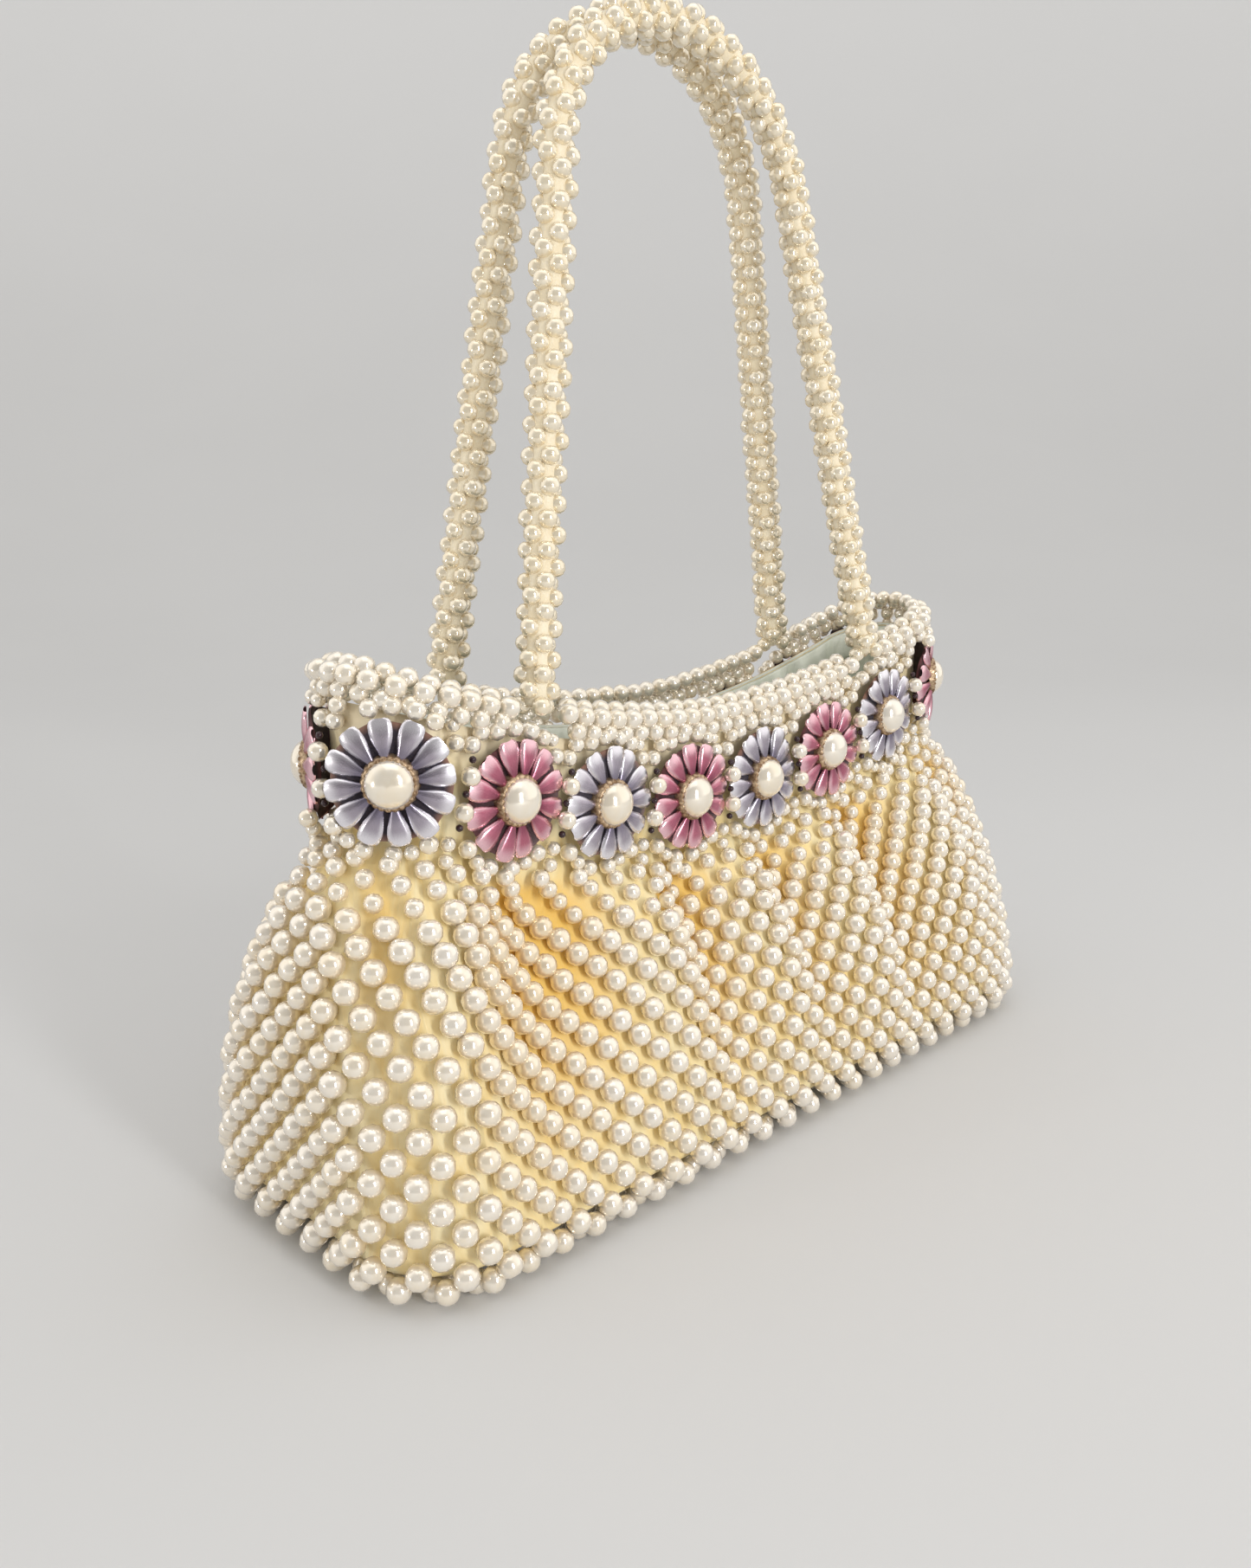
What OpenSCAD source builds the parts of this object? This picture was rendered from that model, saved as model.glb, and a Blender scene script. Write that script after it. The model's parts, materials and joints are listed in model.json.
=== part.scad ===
// Handbag woven from imitation pearls: a flared pouch with a satin lining, a band of
// metal daisies round its mouth and two beaded rope handles that fold down outwards.
// The origin is on the ground under the middle of the bag. X runs along the bag,
// the front faces -Y and +Z is up.

/* [Pouch] */
// Length of the bag at its base
base_length = 278; // [220:1:320]
// Front to back depth at the base
base_depth = 108; // [90:1:130]
// Radius of the base's corners, seen from above
base_corner = 29; // [18:1:34]
// Radius of the rolled edge between the base and the walls
base_roll = 9; // [8:0.5:12]
// Thickness of the pearl weave in the walls and the base
weave_t = 6; // [5:0.25:7]
// Height of the daisies' centres at the two ends of the bag
band_height = 119; // [95:1:145]
// How far the band and the rim sag half way between the ends
band_sag = 22; // [0:1:26]
// Shape of the sag: 2 is a parabola
sag_power = 1.8; // [1.5:0.1:3]
// How full the end walls are: higher is fuller
end_belly = 3.2; // [1.5:0.1:4]
// How full the front and back walls are: higher is fuller
face_belly = 1.7; // [1:0.1:3]

/* [Mouth] */
// Length of the mouth along the middle of its net
mouth_length = 232; // [190:1:270]
// Depth of the mouth between the middles of its net
mouth_depth = 38; // [34:1:60]
// Radius of the mouth's corners, seen from above
mouth_corner = 18; // [12:1:30]
// Thickness of the net that carries the daisies
net_t = 3; // [2.4:0.1:4]
// Space from the height of the petals' tips up to the rim pearls' centres
rim_space = 9; // [8:0.5:15]
// Diameter of the rim pearls
rim_pearl_d = 6; // [5:0.25:7]
// Diameter of the pearls in the row below the rim
row_pearl_d = 5; // [4:0.25:6]
// Space from one rim pearl's centre to the next
rim_pitch = 6.2; // [6.1:0.1:8]

/* [Daisies] */
// Least space between two daisies; the band holds as many as fit, in pairs of colours
daisy_space = 1.8; // [1.6:0.1:8]
// Diameter over the petal tips
daisy_d = 30; // [24:0.5:31]
// Number of petals on a daisy
petal_count = 12; // [10:1:12]
// Width of a petal at its widest
petal_w = 5.2; // [4:0.1:5.6]
// Thickness of a petal
petal_t = 2.2; // [1.5:0.1:3]
// Thickness of the felt disc behind the petals
felt_t = 0.8; // [0.6:0.1:1.2]
// Diameter of the half pearl in the middle
centre_d = 12; // [9:0.5:12.5]
// Height of the half pearl
centre_h = 4; // [3:0.25:5.5]
// Diameter of the pearls strung between two daisies
link_pearl_d = 4.6; // [4:0.1:5]
// Height of each link pearl above or below the band's centre line
link_rise = 4.2; // [4:0.1:5]
// Diameter of the dark seed beads between two daisies
seed_d = 1.6; // [1:0.1:1.8]

/* [Lining] */
// Thickness of the satin
satin_t = 0.8; // [0.6:0.1:1.2]
// Height of the folded hem at the mouth
hem_h = 9; // [6:0.5:14]

/* [Handles] */
// Distance between the feet of one handle, centre to centre
handle_span = 140; // [120:1:160]
// Height of a handle's centre line above its hinge line
handle_height = 174; // [140:1:210]
// Radius of the arch at the top of a handle
arch_radius = 47; // [38:1:56]
// Diameter of the beaded rope
rope_d = 12; // [10:0.5:14]
// How far behind the middle of the bag the two handles meet
meet_back = 6; // [-8:0.5:8]

/* [Hidden] */
$fn = 64;
// Running gap between pieces that lie against each other
gap = 0.3;
// Clear space beside a handle's foot, between it and the nearest rim pearl
foot_gap = 0.4;

base_hl = base_length / 2;
base_hd = base_depth / 2;
mouth_hl = mouth_length / 2;
mouth_hd = mouth_depth / 2;
base_r = min(base_corner, base_hd - 1);
mouth_r = min(mouth_corner, mouth_hd - 1);
half_span = handle_span / 2;
rope_r = rope_d / 2;

// Segments of an outline: along a face, along an end and round a corner
face_steps = 20;
end_steps = 2;
corner_steps = 5;
outline_steps = 2 * face_steps + 2 * end_steps + 4 * corner_steps;

// The net reaches from just above the weave to just below the second row of pearls
net_low = -daisy_d / 2 - 1.2;
rim_rise = daisy_d / 2 + rim_space;
row_drop = (rim_pearl_d + row_pearl_d) / 2 + gap;
net_high = rim_rise - row_drop - row_pearl_d / 2 - gap;
weave_top = net_low - gap;
hem_top = net_high;

petal_inner = centre_d / 2 + 0.6;
setting_t = petal_t + 0.3;

daisy_angle = 360 / petal_count;
pitch_turn = 180 / PI;

function side(p, q, n) = [for (i = [0 : n - 1]) p + (q - p) * i / n];
function bend(c, r, start) =
    [for (i = [0 : corner_steps - 1])
        let (a = start + 90 * i / corner_steps) c + r * [cos(a), sin(a)]];

// Rounded rectangle, counter-clockwise from the left end of the front face
function outline(hl, hd, r) =
    let (x = hl - r, y = hd - r)
    concat(
        side([-x, -hd], [x, -hd], face_steps), bend([x, -y], r, -90),
        side([hl, -y], [hl, y], end_steps), bend([x, y], r, 0),
        side([x, hd], [-x, hd], face_steps), bend([-x, y], r, 90),
        side([-hl, y], [-hl, -y], end_steps), bend([-x, -y], r, 180));

function base_outline(inset) = outline(base_hl - inset, base_hd - inset, base_r - inset);
function mouth_outline(inset) = outline(mouth_hl - inset, mouth_hd - inset, mouth_r - inset);

// Height of the daisies' centre line at a distance x from the middle
function band_z(x) =
    band_height - band_sag * (1 - pow(min(1, abs(x) / mouth_hl), sag_power));
function rim_z(x) = band_z(x) + rim_rise;

// One ring of the rolled bottom edge, for a skin lying inset from the outside
function roll_ring(inset, turn) =
    let (r = base_roll - inset, ring = base_outline(base_roll - r * sin(turn)))
    [for (p = ring) [p[0], p[1], base_roll - r * cos(turn)]];

// One ring of the flared wall: t is 0 at the rolled edge and 1 under the band
function wall_ring(inset, t) =
    let (
        low = base_outline(inset),
        high = mouth_outline(inset - weave_t / 2),
        ends = 1 - pow(t, end_belly),
        faces = 1 - pow(t, face_belly))
    [for (i = [0 : outline_steps - 1])
        let (
            x = high[i][0] + (low[i][0] - high[i][0]) * ends,
            y = high[i][1] + (low[i][1] - high[i][1]) * faces)
        [x, y, base_roll + t * (band_z(high[i][0]) + weave_top - base_roll)]];

// One upright ring of the mouth, at a height above the daisies' centre line
function mouth_ring(inset, rise) =
    [for (p = mouth_outline(inset)) [p[0], p[1], band_z(p[0]) + rise]];

roll_turns = [0, 30, 60];
wall_steps = 7;
function weave_rings(inset) = concat(
    [for (a = roll_turns) roll_ring(inset, a)],
    [for (k = [0 : wall_steps]) wall_ring(inset, k / wall_steps)]);

function net_rings(inset) = [for (rise = [net_low, 0, net_high]) mouth_ring(inset, rise)];

satin_out = weave_t + gap;
satin_in = satin_out + satin_t;
net_satin = net_t / 2 + gap;
// Height over which the satin moves out from the thick weave to the thin net
satin_step = 4;
function lining_rings(wall_inset, net_inset) = concat(
    [for (a = roll_turns) roll_ring(wall_inset, a)],
    [for (k = [0 : wall_steps - 1]) wall_ring(wall_inset, k / wall_steps)],
    [mouth_ring(wall_inset - weave_t / 2, net_low)],
    [for (rise = [net_low + satin_step, 0, hem_top]) mouth_ring(net_inset, rise)]);

// Closed solid between two stacks of rings, from one outline step to another
module shell(outer, inner, first, last) {
    closed = last - first == outline_steps;
    columns = closed ? outline_steps : last - first + 1;
    cells = last - first - 1;
    levels = len(outer) - 1;
    points = [for (k = [0 : levels]) for (j = [0 : columns - 1])
        for (skin = [outer, inner]) skin[k][(first + j) % outline_steps]];
    function o(k, j) = 2 * (k * columns + j % columns);
    function i(k, j) = o(k, j) + 1;
    outside = [for (k = [0 : levels - 1]) for (j = [0 : cells])
        [o(k, j), o(k + 1, j), o(k + 1, j + 1), o(k, j + 1)]];
    inside = [for (k = [0 : levels - 1]) for (j = [0 : cells])
        [i(k, j), i(k, j + 1), i(k + 1, j + 1), i(k + 1, j)]];
    bottom = [for (j = [0 : cells]) [o(0, j), o(0, j + 1), i(0, j + 1), i(0, j)]];
    top = [for (j = [0 : cells])
        [o(levels, j + 1), o(levels, j), i(levels, j), i(levels, j + 1)]];
    end = columns - 1;
    // Both end caps split along the same diagonal, so that two panels meet face to face
    caps = closed ? [] : [for (k = [0 : levels - 1])
        for (cap = [[o(k + 1, 0), o(k, 0), i(k + 1, 0)],
                    [o(k, 0), i(k, 0), i(k + 1, 0)],
                    [o(k, end), o(k + 1, end), i(k + 1, end)],
                    [o(k, end), i(k + 1, end), i(k, end)]]) cap];
    polyhedron(points, concat(outside, inside, bottom, top, caps), convexity = 8);
}

// The four panels meet half way round the corners
corner_half = floor(corner_steps / 2);
front_first = outline_steps - corner_half;
end_first = face_steps + corner_half;
end_last = face_steps + end_steps + 2 * corner_steps - corner_half;
half_turn = outline_steps / 2;

module front_panel(outer, inner) shell(outer, inner, front_first, outline_steps + end_first);
module right_panel(outer, inner) shell(outer, inner, end_first, end_last);
module turned() rotate([0, 0, 180]) children();

// A place on the mouth's centre line, s millimetres to the right of the front's middle:
// x, y and the direction that it faces
function mouth_spot(s) =
    let (
        face = mouth_hl - mouth_r,
        edge = 2 * (mouth_hd - mouth_r),
        arc = mouth_r * PI / 2,
        half = 2 * face + 2 * arc + edge,
        u = (s % (2 * half) + 2 * half) % (2 * half),
        v = u % half,
        spot =
            v <= face ? [v, -mouth_hd, -90] :
            v <= face + arc ?
                let (w = (v - face) / mouth_r * pitch_turn)
                [face + mouth_r * sin(w), -edge / 2 - mouth_r * cos(w), w - 90] :
            v <= face + arc + edge ? [mouth_hl, v - face - arc - edge / 2, 0] :
            v <= face + 2 * arc + edge ?
                let (w = (v - face - arc - edge) / mouth_r * pitch_turn)
                [face + mouth_r * cos(w), edge / 2 + mouth_r * sin(w), w] :
            [half - v, mouth_hd, 90])
    u < half ? spot : [-spot[0], -spot[1], spot[2] + 180];

mouth_round = 4 * (mouth_hl + mouth_hd - 2 * mouth_r) + 2 * PI * mouth_r;
daisy_count = 2 * floor(mouth_round / (2 * (daisy_d + daisy_space)));
daisy_pitch = mouth_round / daisy_count;

// Puts its children on the mouth with +Z outwards and +Y to the right, seen from outside
module on_mouth(s, rise, out) {
    spot = mouth_spot(s);
    translate([spot[0], spot[1], band_z(spot[0]) + rise])
        rotate([0, 0, spot[2]])
            rotate([0, 90, 0])
                translate([0, 0, out]) children();
}

// The same, turned so that +Y runs along the sagging band
module on_band(s, rise, out) {
    reach = daisy_pitch / 4;
    climb = band_z(mouth_spot(s + reach)[0]) - band_z(mouth_spot(s - reach)[0]);
    on_mouth(s, 0, out)
        rotate([0, 0, atan(climb / (2 * reach))])
            translate([-rise, 0, 0]) children();
}

daisy_back = net_t / 2 + gap;
petal_back = daisy_back + felt_t;

function daisy_place(n) = (n - 0.5) * daisy_pitch;

module daisy_petals(first) {
    for (n = [first : 2 : daisy_count])
        on_band(daisy_place(n), 0, petal_back)
            for (k = [0 : petal_count - 1])
                rotate([0, 0, 90 + k * daisy_angle])
                    linear_extrude(petal_t)
                        polygon([
                            [petal_inner, -0.25 * petal_w], [0.8 * daisy_d / 2, -0.5 * petal_w],
                            [0.94 * daisy_d / 2, -0.45 * petal_w], [daisy_d / 2, -0.2 * petal_w],
                            [daisy_d / 2, 0.2 * petal_w], [0.94 * daisy_d / 2, 0.45 * petal_w],
                            [0.8 * daisy_d / 2, 0.5 * petal_w], [petal_inner, 0.25 * petal_w]]);
}

module lilac_petals() color("#b3a4c4") daisy_petals(1);
module pink_petals() color("#c27493") daisy_petals(2);

module daisy_felts() {
    color("#6b4a4d")
        for (n = [1 : daisy_count])
            on_band(daisy_place(n), 0, daisy_back) cylinder(d = daisy_d - 3, h = felt_t);
}

module daisy_settings() {
    color("#5b4b44")
        for (n = [1 : daisy_count])
            on_band(daisy_place(n), 0, petal_back) cylinder(d = centre_d, h = setting_t);
}

// The ball's flat cut is as wide as the setting
module daisy_centres() {
    ball_r = (pow(centre_d / 2, 2) + pow(centre_h, 2)) / (2 * centre_h);
    color("#f4ebe0")
        for (n = [1 : daisy_count])
            on_band(daisy_place(n), 0, petal_back + setting_t)
                intersection() {
                    translate([0, 0, centre_h - ball_r]) sphere(ball_r);
                    cylinder(r = 2 * ball_r, h = 2 * ball_r);
                }
}

module link_pearls() {
    color("#f4ebe0")
        for (n = [1 : daisy_count])
            for (rise = [-link_rise, link_rise])
                on_band(n * daisy_pitch, rise, daisy_back + link_pearl_d / 2)
                    sphere(d = link_pearl_d);
}

module link_seeds() {
    color("#2a2428")
        for (n = [1 : daisy_count])
            for (rise = [-2 * link_rise, 0, 2 * link_rise])
                on_band(n * daisy_pitch, rise, daisy_back + seed_d / 2) sphere(d = seed_d);
}

// Pearls stop short of each handle's foot, in four runs round the mouth
foot_clear = rope_r + foot_gap + rim_pearl_d / 2;
short_run = 2 * (half_span - foot_clear);
long_run = mouth_round / 2 - 2 * (half_span + foot_clear);
runs = [
    [-short_run / 2, short_run],
    [half_span + foot_clear, long_run],
    [mouth_round / 2 - short_run / 2, short_run],
    [mouth_round / 2 + half_span + foot_clear, long_run]];

module rim_pearls() {
    color("#f6ecdf")
        for (run = runs) {
            count = floor(run[1] / rim_pitch);
            for (k = [0 : count])
                on_mouth(run[0] + k * run[1] / count, rim_rise, 0) sphere(d = rim_pearl_d);
        }
}

module second_row_pearls() {
    color("#f4e9da")
        for (run = runs) {
            count = floor(run[1] / rim_pitch);
            for (k = [0 : count - 1])
                on_mouth(run[0] + (k + 0.5) * run[1] / count, rim_rise - row_drop, 0)
                    sphere(d = row_pearl_d);
        }
}

module woven_front() color("#f1e2c2") front_panel(weave_rings(0), weave_rings(weave_t));
module woven_right_end() color("#eedfbd") right_panel(weave_rings(0), weave_rings(weave_t));
module woven_back() turned() woven_front();
module woven_left_end() turned() woven_right_end();

// Flat rounded rectangle of true arcs
module plate(inset, t) {
    r = base_r - inset;
    x = base_hl - base_r;
    y = base_hd - base_r;
    linear_extrude(t) {
        square([2 * x, 2 * (y + r)], center = true);
        square([2 * (x + r), 2 * y], center = true);
        for (sx = [-1, 1]) for (sy = [-1, 1]) translate([sx * x, sy * y]) circle(r);
    }
}

module woven_base() color("#eedfbd") plate(base_roll + gap, weave_t);

module net_front() color("#f3e6cc") front_panel(net_rings(-net_t / 2), net_rings(net_t / 2));
module net_right_end() color("#f1e3c6") right_panel(net_rings(-net_t / 2), net_rings(net_t / 2));
module net_back() turned() net_front();
module net_left_end() turned() net_right_end();

module lining_wall() {
    color("#e9eee2")
        shell(
            lining_rings(satin_out, net_satin), lining_rings(satin_in, net_satin + satin_t),
            0, outline_steps);
}

module lining_base() {
    color("#e4eadd")
        translate([0, 0, weave_t + gap]) plate(base_roll + gap, satin_t);
}

// The hem is a second layer of satin inside the top of the lining
module lining_hem() {
    hem = [for (rise = [hem_top - hem_h, hem_top]) rise];
    inset = net_satin + satin_t + gap;
    color("#dfe6d6")
        shell(
            [for (rise = hem) mouth_ring(inset, rise)],
            [for (rise = hem) mouth_ring(inset + satin_t, rise)],
            0, outline_steps);
}

// Straight legs run tangent into the arch, so the leg's slope comes from the span
arch_rise = handle_height - arch_radius;
leg_slope = acos(arch_radius / norm([half_span, arch_rise])) - atan(arch_rise / half_span);
leg_length = norm([
    half_span - arch_radius * cos(leg_slope), arch_rise + arch_radius * sin(leg_slope)]);

// A handle stands in the XZ plane, with its hinge line along X at height 0. Its rope is
// made in three lengths that meet face to face: the arch and two legs with rounded feet.
module handle_arch() {
    translate([0, 0, arch_rise])
        rotate([90, 0, 0])
            rotate([0, 0, leg_slope])
                rotate_extrude(angle = 180 - 2 * leg_slope)
                    translate([arch_radius, 0]) circle(rope_r);
}

module handle_leg(s) {
    translate([s * half_span, 0, 0])
        rotate([0, -s * leg_slope, 0])
            rotate_extrude()
                intersection() {
                    union() {
                        square([rope_r, leg_length]);
                        circle(rope_r);
                    }
                    translate([0, -rope_r]) square([rope_r, leg_length + rope_r]);
                }
}

hinge_z = rim_z(half_span);
meet_half = rope_r + gap;
front_lean = asin((mouth_hd + meet_back - meet_half) / handle_height);
rear_lean = asin((mouth_hd - meet_back - meet_half) / handle_height);

module at_front() {
    color("#f3e4c4")
        translate([0, -mouth_hd, hinge_z]) rotate([-front_lean, 0, 0]) children();
}

module at_rear() {
    color("#efdfbd")
        translate([0, mouth_hd, hinge_z]) rotate([rear_lean, 0, 0]) children();
}

module front_handle_arch() at_front() handle_arch();
module front_handle_left_leg() at_front() handle_leg(-1);
module front_handle_right_leg() at_front() handle_leg(1);
module rear_handle_arch() at_rear() handle_arch();
module rear_handle_left_leg() at_rear() handle_leg(-1);
module rear_handle_right_leg() at_rear() handle_leg(1);

woven_front();
woven_back();
woven_left_end();
woven_right_end();
woven_base();
net_front();
net_back();
net_left_end();
net_right_end();
lining_wall();
lining_base();
lining_hem();
rim_pearls();
second_row_pearls();
link_pearls();
link_seeds();
daisy_felts();
daisy_settings();
daisy_centres();
lilac_petals();
pink_petals();
front_handle_arch();
front_handle_left_leg();
front_handle_right_leg();
rear_handle_arch();
rear_handle_left_leg();
rear_handle_right_leg();
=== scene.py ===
import json
import math
import bpy
import numpy as np
from mathutils import Matrix, Vector


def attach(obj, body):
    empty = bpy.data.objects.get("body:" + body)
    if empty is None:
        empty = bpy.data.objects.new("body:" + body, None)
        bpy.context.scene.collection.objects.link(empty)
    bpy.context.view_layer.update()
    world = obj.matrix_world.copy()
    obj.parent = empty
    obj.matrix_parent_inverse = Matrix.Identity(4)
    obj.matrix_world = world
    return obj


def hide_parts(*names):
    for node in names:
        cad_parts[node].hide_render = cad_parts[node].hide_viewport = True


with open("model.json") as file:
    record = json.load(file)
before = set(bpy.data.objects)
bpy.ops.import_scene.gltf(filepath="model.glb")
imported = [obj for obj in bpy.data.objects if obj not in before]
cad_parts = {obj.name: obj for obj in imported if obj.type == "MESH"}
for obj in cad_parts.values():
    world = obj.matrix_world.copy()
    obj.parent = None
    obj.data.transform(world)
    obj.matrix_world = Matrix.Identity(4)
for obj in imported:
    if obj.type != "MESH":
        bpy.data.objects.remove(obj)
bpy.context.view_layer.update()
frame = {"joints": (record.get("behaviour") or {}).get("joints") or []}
scene = bpy.context.scene
joints = {joint["name"]: joint for joint in frame["joints"]}

# Values, in metres

cameraView = {
    "place": (-0.2695, -0.25313, 0.18216),
    "right": (0.71123, -0.70289, -0.01015),
    "down": (-0.16851, -0.15646, -0.9732),
    "lens": 28.77,
}

pouch = {
    "baseHalfLength": 0.139,
    "baseHalfDepth": 0.054,
    "baseCorner": 0.029,
    "baseRoll": 0.009,
    "weave": 0.006,
    "endBelly": 3.2,
    "faceBelly": 1.7,
    "columns": 128,
    "halfRow": 0.00525,
    "bead": 0.0065,
    "baseBead": 0.0062,
    "smallBead": 0.005,
    "smallRows": 2,
    "firstRow": 0.0042,
    "pleatDepth": 1.3,
}

mouth = {
    "halfLength": 0.116,
    "halfDepth": 0.019,
    "corner": 0.018,
    "bandHeight": 0.119,
    "sag": 0.022,
    "sagPower": 1.8,
    "net": 0.003,
    "netLow": -0.0162,
    "rimRise": 0.024,
    "rimPearl": 0.0056,
    "rowPearl": 0.005,
    "rimPitch": 0.0057,
    "footClear": 0.0094,
    "outerRow": (-0.0014, 0.0014),
    "innerRow": (0.0004, -0.0022),
    "secondRow": (-0.0054, 0.0010),
    "endDraw": 0.0015,
}

# Pleats of the gathered pouch: place along the mouth from the front's middle, and depth
pleatStops = (
    (-0.250, 0.0), (-0.236, 0.005), (-0.205, 0.0), (-0.196, 0.006), (-0.166, 0.0),
    (-0.150, 0.004), (-0.124, 0.0), (-0.116, 0.003), (-0.098, 0.0), (-0.074, 0.008),
    (-0.033, 0.0), (-0.022, 0.0065), (0.007, 0.0), (0.013, 0.005), (0.045, 0.0),
    (0.052, 0.006), (0.092, 0.0), (0.100, 0.004), (0.124, 0.0), (0.133, 0.003),
    (0.160, 0.0), (0.170, 0.006), (0.202, 0.0), (0.212, 0.007), (0.238, 0.0),
    (0.246, 0.005),
)

daisy = {
    "count": 16,
    "radius": 0.0152,
    "inner": 0.0062,
    "petals": 12,
    "petalWidth": 0.0055,
    "petalCrown": 0.0014,
    "petalEdge": 0.0007,
    "back": 0.0018,
    "felt": 0.0008,
    "feltRadius": 0.0148,
    "setting": 0.0020,
    "centreRadius": 0.0058,
    "centreHeight": 0.004,
    "linkPearl": 0.005,
    "linkRise": 0.0044,
    "seed": 0.0019,
}

handle = {
    "halfSpan": 0.07,
    "height": 0.174,
    "archRadius": 0.047,
    "ropeRadius": 0.006,
    "bead": 0.005,
    "ringRadius": 0.0035,
    "rowPitch": 0.00383,
    "twist": 0.0,
    "coreRadius": 0.0034,
    "meetBack": 0.006,
    "frontPhase": 0.75,
    "rearPhase": 0.75,
}

satin = {
    "inset": 0.0066,
    "netInset": 0.0021,
    "thickness": 0.0006,
    "wrinkle": 0.0010,
}

beadFaces = 3
gap = 0.0003

# How far a daisy on a corner of the mouth bends round it: 0 is flat, 1 follows the band
cornerCurl = {4: 0.9, 5: 0.85, 12: 0.85, 13: 0.15}

# Camera


def makeCamera():
    right = Vector(cameraView["right"]).normalized()
    up = -Vector(cameraView["down"])
    back = right.cross(up).normalized()
    up = back.cross(right)
    turn = Matrix((right, up, back)).transposed()
    data = bpy.data.cameras.new("camera")
    data.lens = cameraView["lens"]
    data.sensor_width = 36
    data.clip_start = 0.01
    data.clip_end = 20
    camera = bpy.data.objects.new("camera", data)
    camera.matrix_world = Matrix.Translation(cameraView["place"]) @ turn.to_4x4()
    scene.collection.objects.link(camera)
    scene.camera = camera


makeCamera()
scene.view_settings.view_transform = "Standard"

# Shape of the pouch and its mouth

faceSteps, endSteps, cornerSteps = 200, 20, 50
ringSteps = 2 * (faceSteps + endSteps) + 4 * cornerSteps


def straight(start, end, count):
    share = np.arange(count)[:, None] / count
    return np.array(start) + (np.array(end) - np.array(start)) * share


def arc(centre, radius, start):
    angle = np.radians(start + 90 * np.arange(cornerSteps) / cornerSteps)
    return np.array(centre) + radius * np.stack([np.cos(angle), np.sin(angle)], 1)


# Rounded rectangle, counter-clockwise from the left end of the front face.
def outline(halfLength, halfDepth, radius):
    x, y = halfLength - radius, halfDepth - radius
    return np.concatenate([
        straight((-x, -halfDepth), (x, -halfDepth), faceSteps), arc((x, -y), radius, -90),
        straight((halfLength, -y), (halfLength, y), endSteps), arc((x, y), radius, 0),
        straight((x, halfDepth), (-x, halfDepth), faceSteps), arc((-x, y), radius, 90),
        straight((-halfLength, y), (-halfLength, -y), endSteps), arc((-x, -y), radius, 180),
    ])


def baseOutline(inset):
    return outline(
        pouch["baseHalfLength"] - inset, pouch["baseHalfDepth"] - inset,
        pouch["baseCorner"] - inset)


def mouthOutline(inset):
    return outline(
        mouth["halfLength"] - inset, mouth["halfDepth"] - inset, mouth["corner"] - inset)


def bandZ(x):
    share = np.minimum(1, np.abs(x) / mouth["halfLength"])
    return mouth["bandHeight"] - mouth["sag"] * (1 - share ** mouth["sagPower"])


def withHeight(flat, z):
    return np.column_stack([flat, np.broadcast_to(z, len(flat))])


def rollRing(inset, turn):
    radius = pouch["baseRoll"] - inset
    flat = baseOutline(pouch["baseRoll"] - radius * math.sin(math.radians(turn)))
    return withHeight(flat, pouch["baseRoll"] - radius * math.cos(math.radians(turn)))


def wallRing(inset, t):
    low = baseOutline(inset)
    high = mouthOutline(inset - pouch["weave"] / 2)
    ends = 1 - t ** pouch["endBelly"]
    faces = 1 - t ** pouch["faceBelly"]
    flat = high + (low - high) * np.array([ends, faces])
    top = bandZ(high[:, 0]) + mouth["netLow"] - gap
    return withHeight(flat, pouch["baseRoll"] + t * (top - pouch["baseRoll"]))


def mouthRing(inset, rise):
    flat = mouthOutline(inset)
    return withHeight(flat, bandZ(flat[:, 0]) + rise)


# Distance along a closed ring up to each of its points, and the whole way round.
def lengthsAlong(loop):
    steps = np.linalg.norm(np.roll(loop, -1, 0) - loop, axis=1)
    along = np.concatenate([[0], np.cumsum(steps)])
    return along[:-1], along[-1]


mouthAlong, mouthRound = lengthsAlong(mouthOutline(0))
frontMiddle = faceSteps // 2
placeRound = (mouthAlong - mouthAlong[frontMiddle] + mouthRound / 2) % mouthRound - mouthRound / 2
daisyPitch = mouthRound / daisy["count"]


def pleatProfile(places):
    stops = np.array(pleatStops)
    wrapped = np.concatenate([stops - [mouthRound, 0], stops, stops + [mouthRound, 0]])
    x = np.interp(places, wrapped[:, 0], np.arange(len(wrapped)))
    whole = np.floor(x).astype(int)
    share = x - whole
    share = share * share * (3 - 2 * share)
    after = np.minimum(whole + 1, len(wrapped) - 1)
    return wrapped[whole, 1] * (1 - share) + wrapped[after, 1] * share


# Pleats start under the band, are deepest near the top and fade out to the base.
def pleatStrength(t):
    rise = min(1, (1 - t) / 0.16)
    rise = rise * rise * (3 - 2 * rise)
    return pouch["pleatDepth"] * rise * (0.12 + 0.88 * min(1, t / 0.85) ** 1.2)


# The ring with the pleats pressed into it, along its own level normals.
def pushedIn(ring, t, wobble=0.0):
    ahead, behind = np.roll(ring, -1, 0), np.roll(ring, 1, 0)
    along = (ahead - behind)[:, :2]
    along /= np.linalg.norm(along, axis=1)[:, None]
    depth = pleatProfile(placeRound) * pleatStrength(t) - 0.0012 * pleatStrength(t) + wobble
    out = ring.copy()
    out[:, 0] -= along[:, 1] * depth
    out[:, 1] += along[:, 0] * depth
    return out


# Rings from under the band down the wall and round the rolled edge.
def weaveStack(inset):
    rings = [pushedIn(wallRing(inset, t), t) for t in np.linspace(1, 0, 49)]
    rings += [rollRing(inset, turn) for turn in (75, 60, 45, 30, 15, 0)]
    return rings


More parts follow.
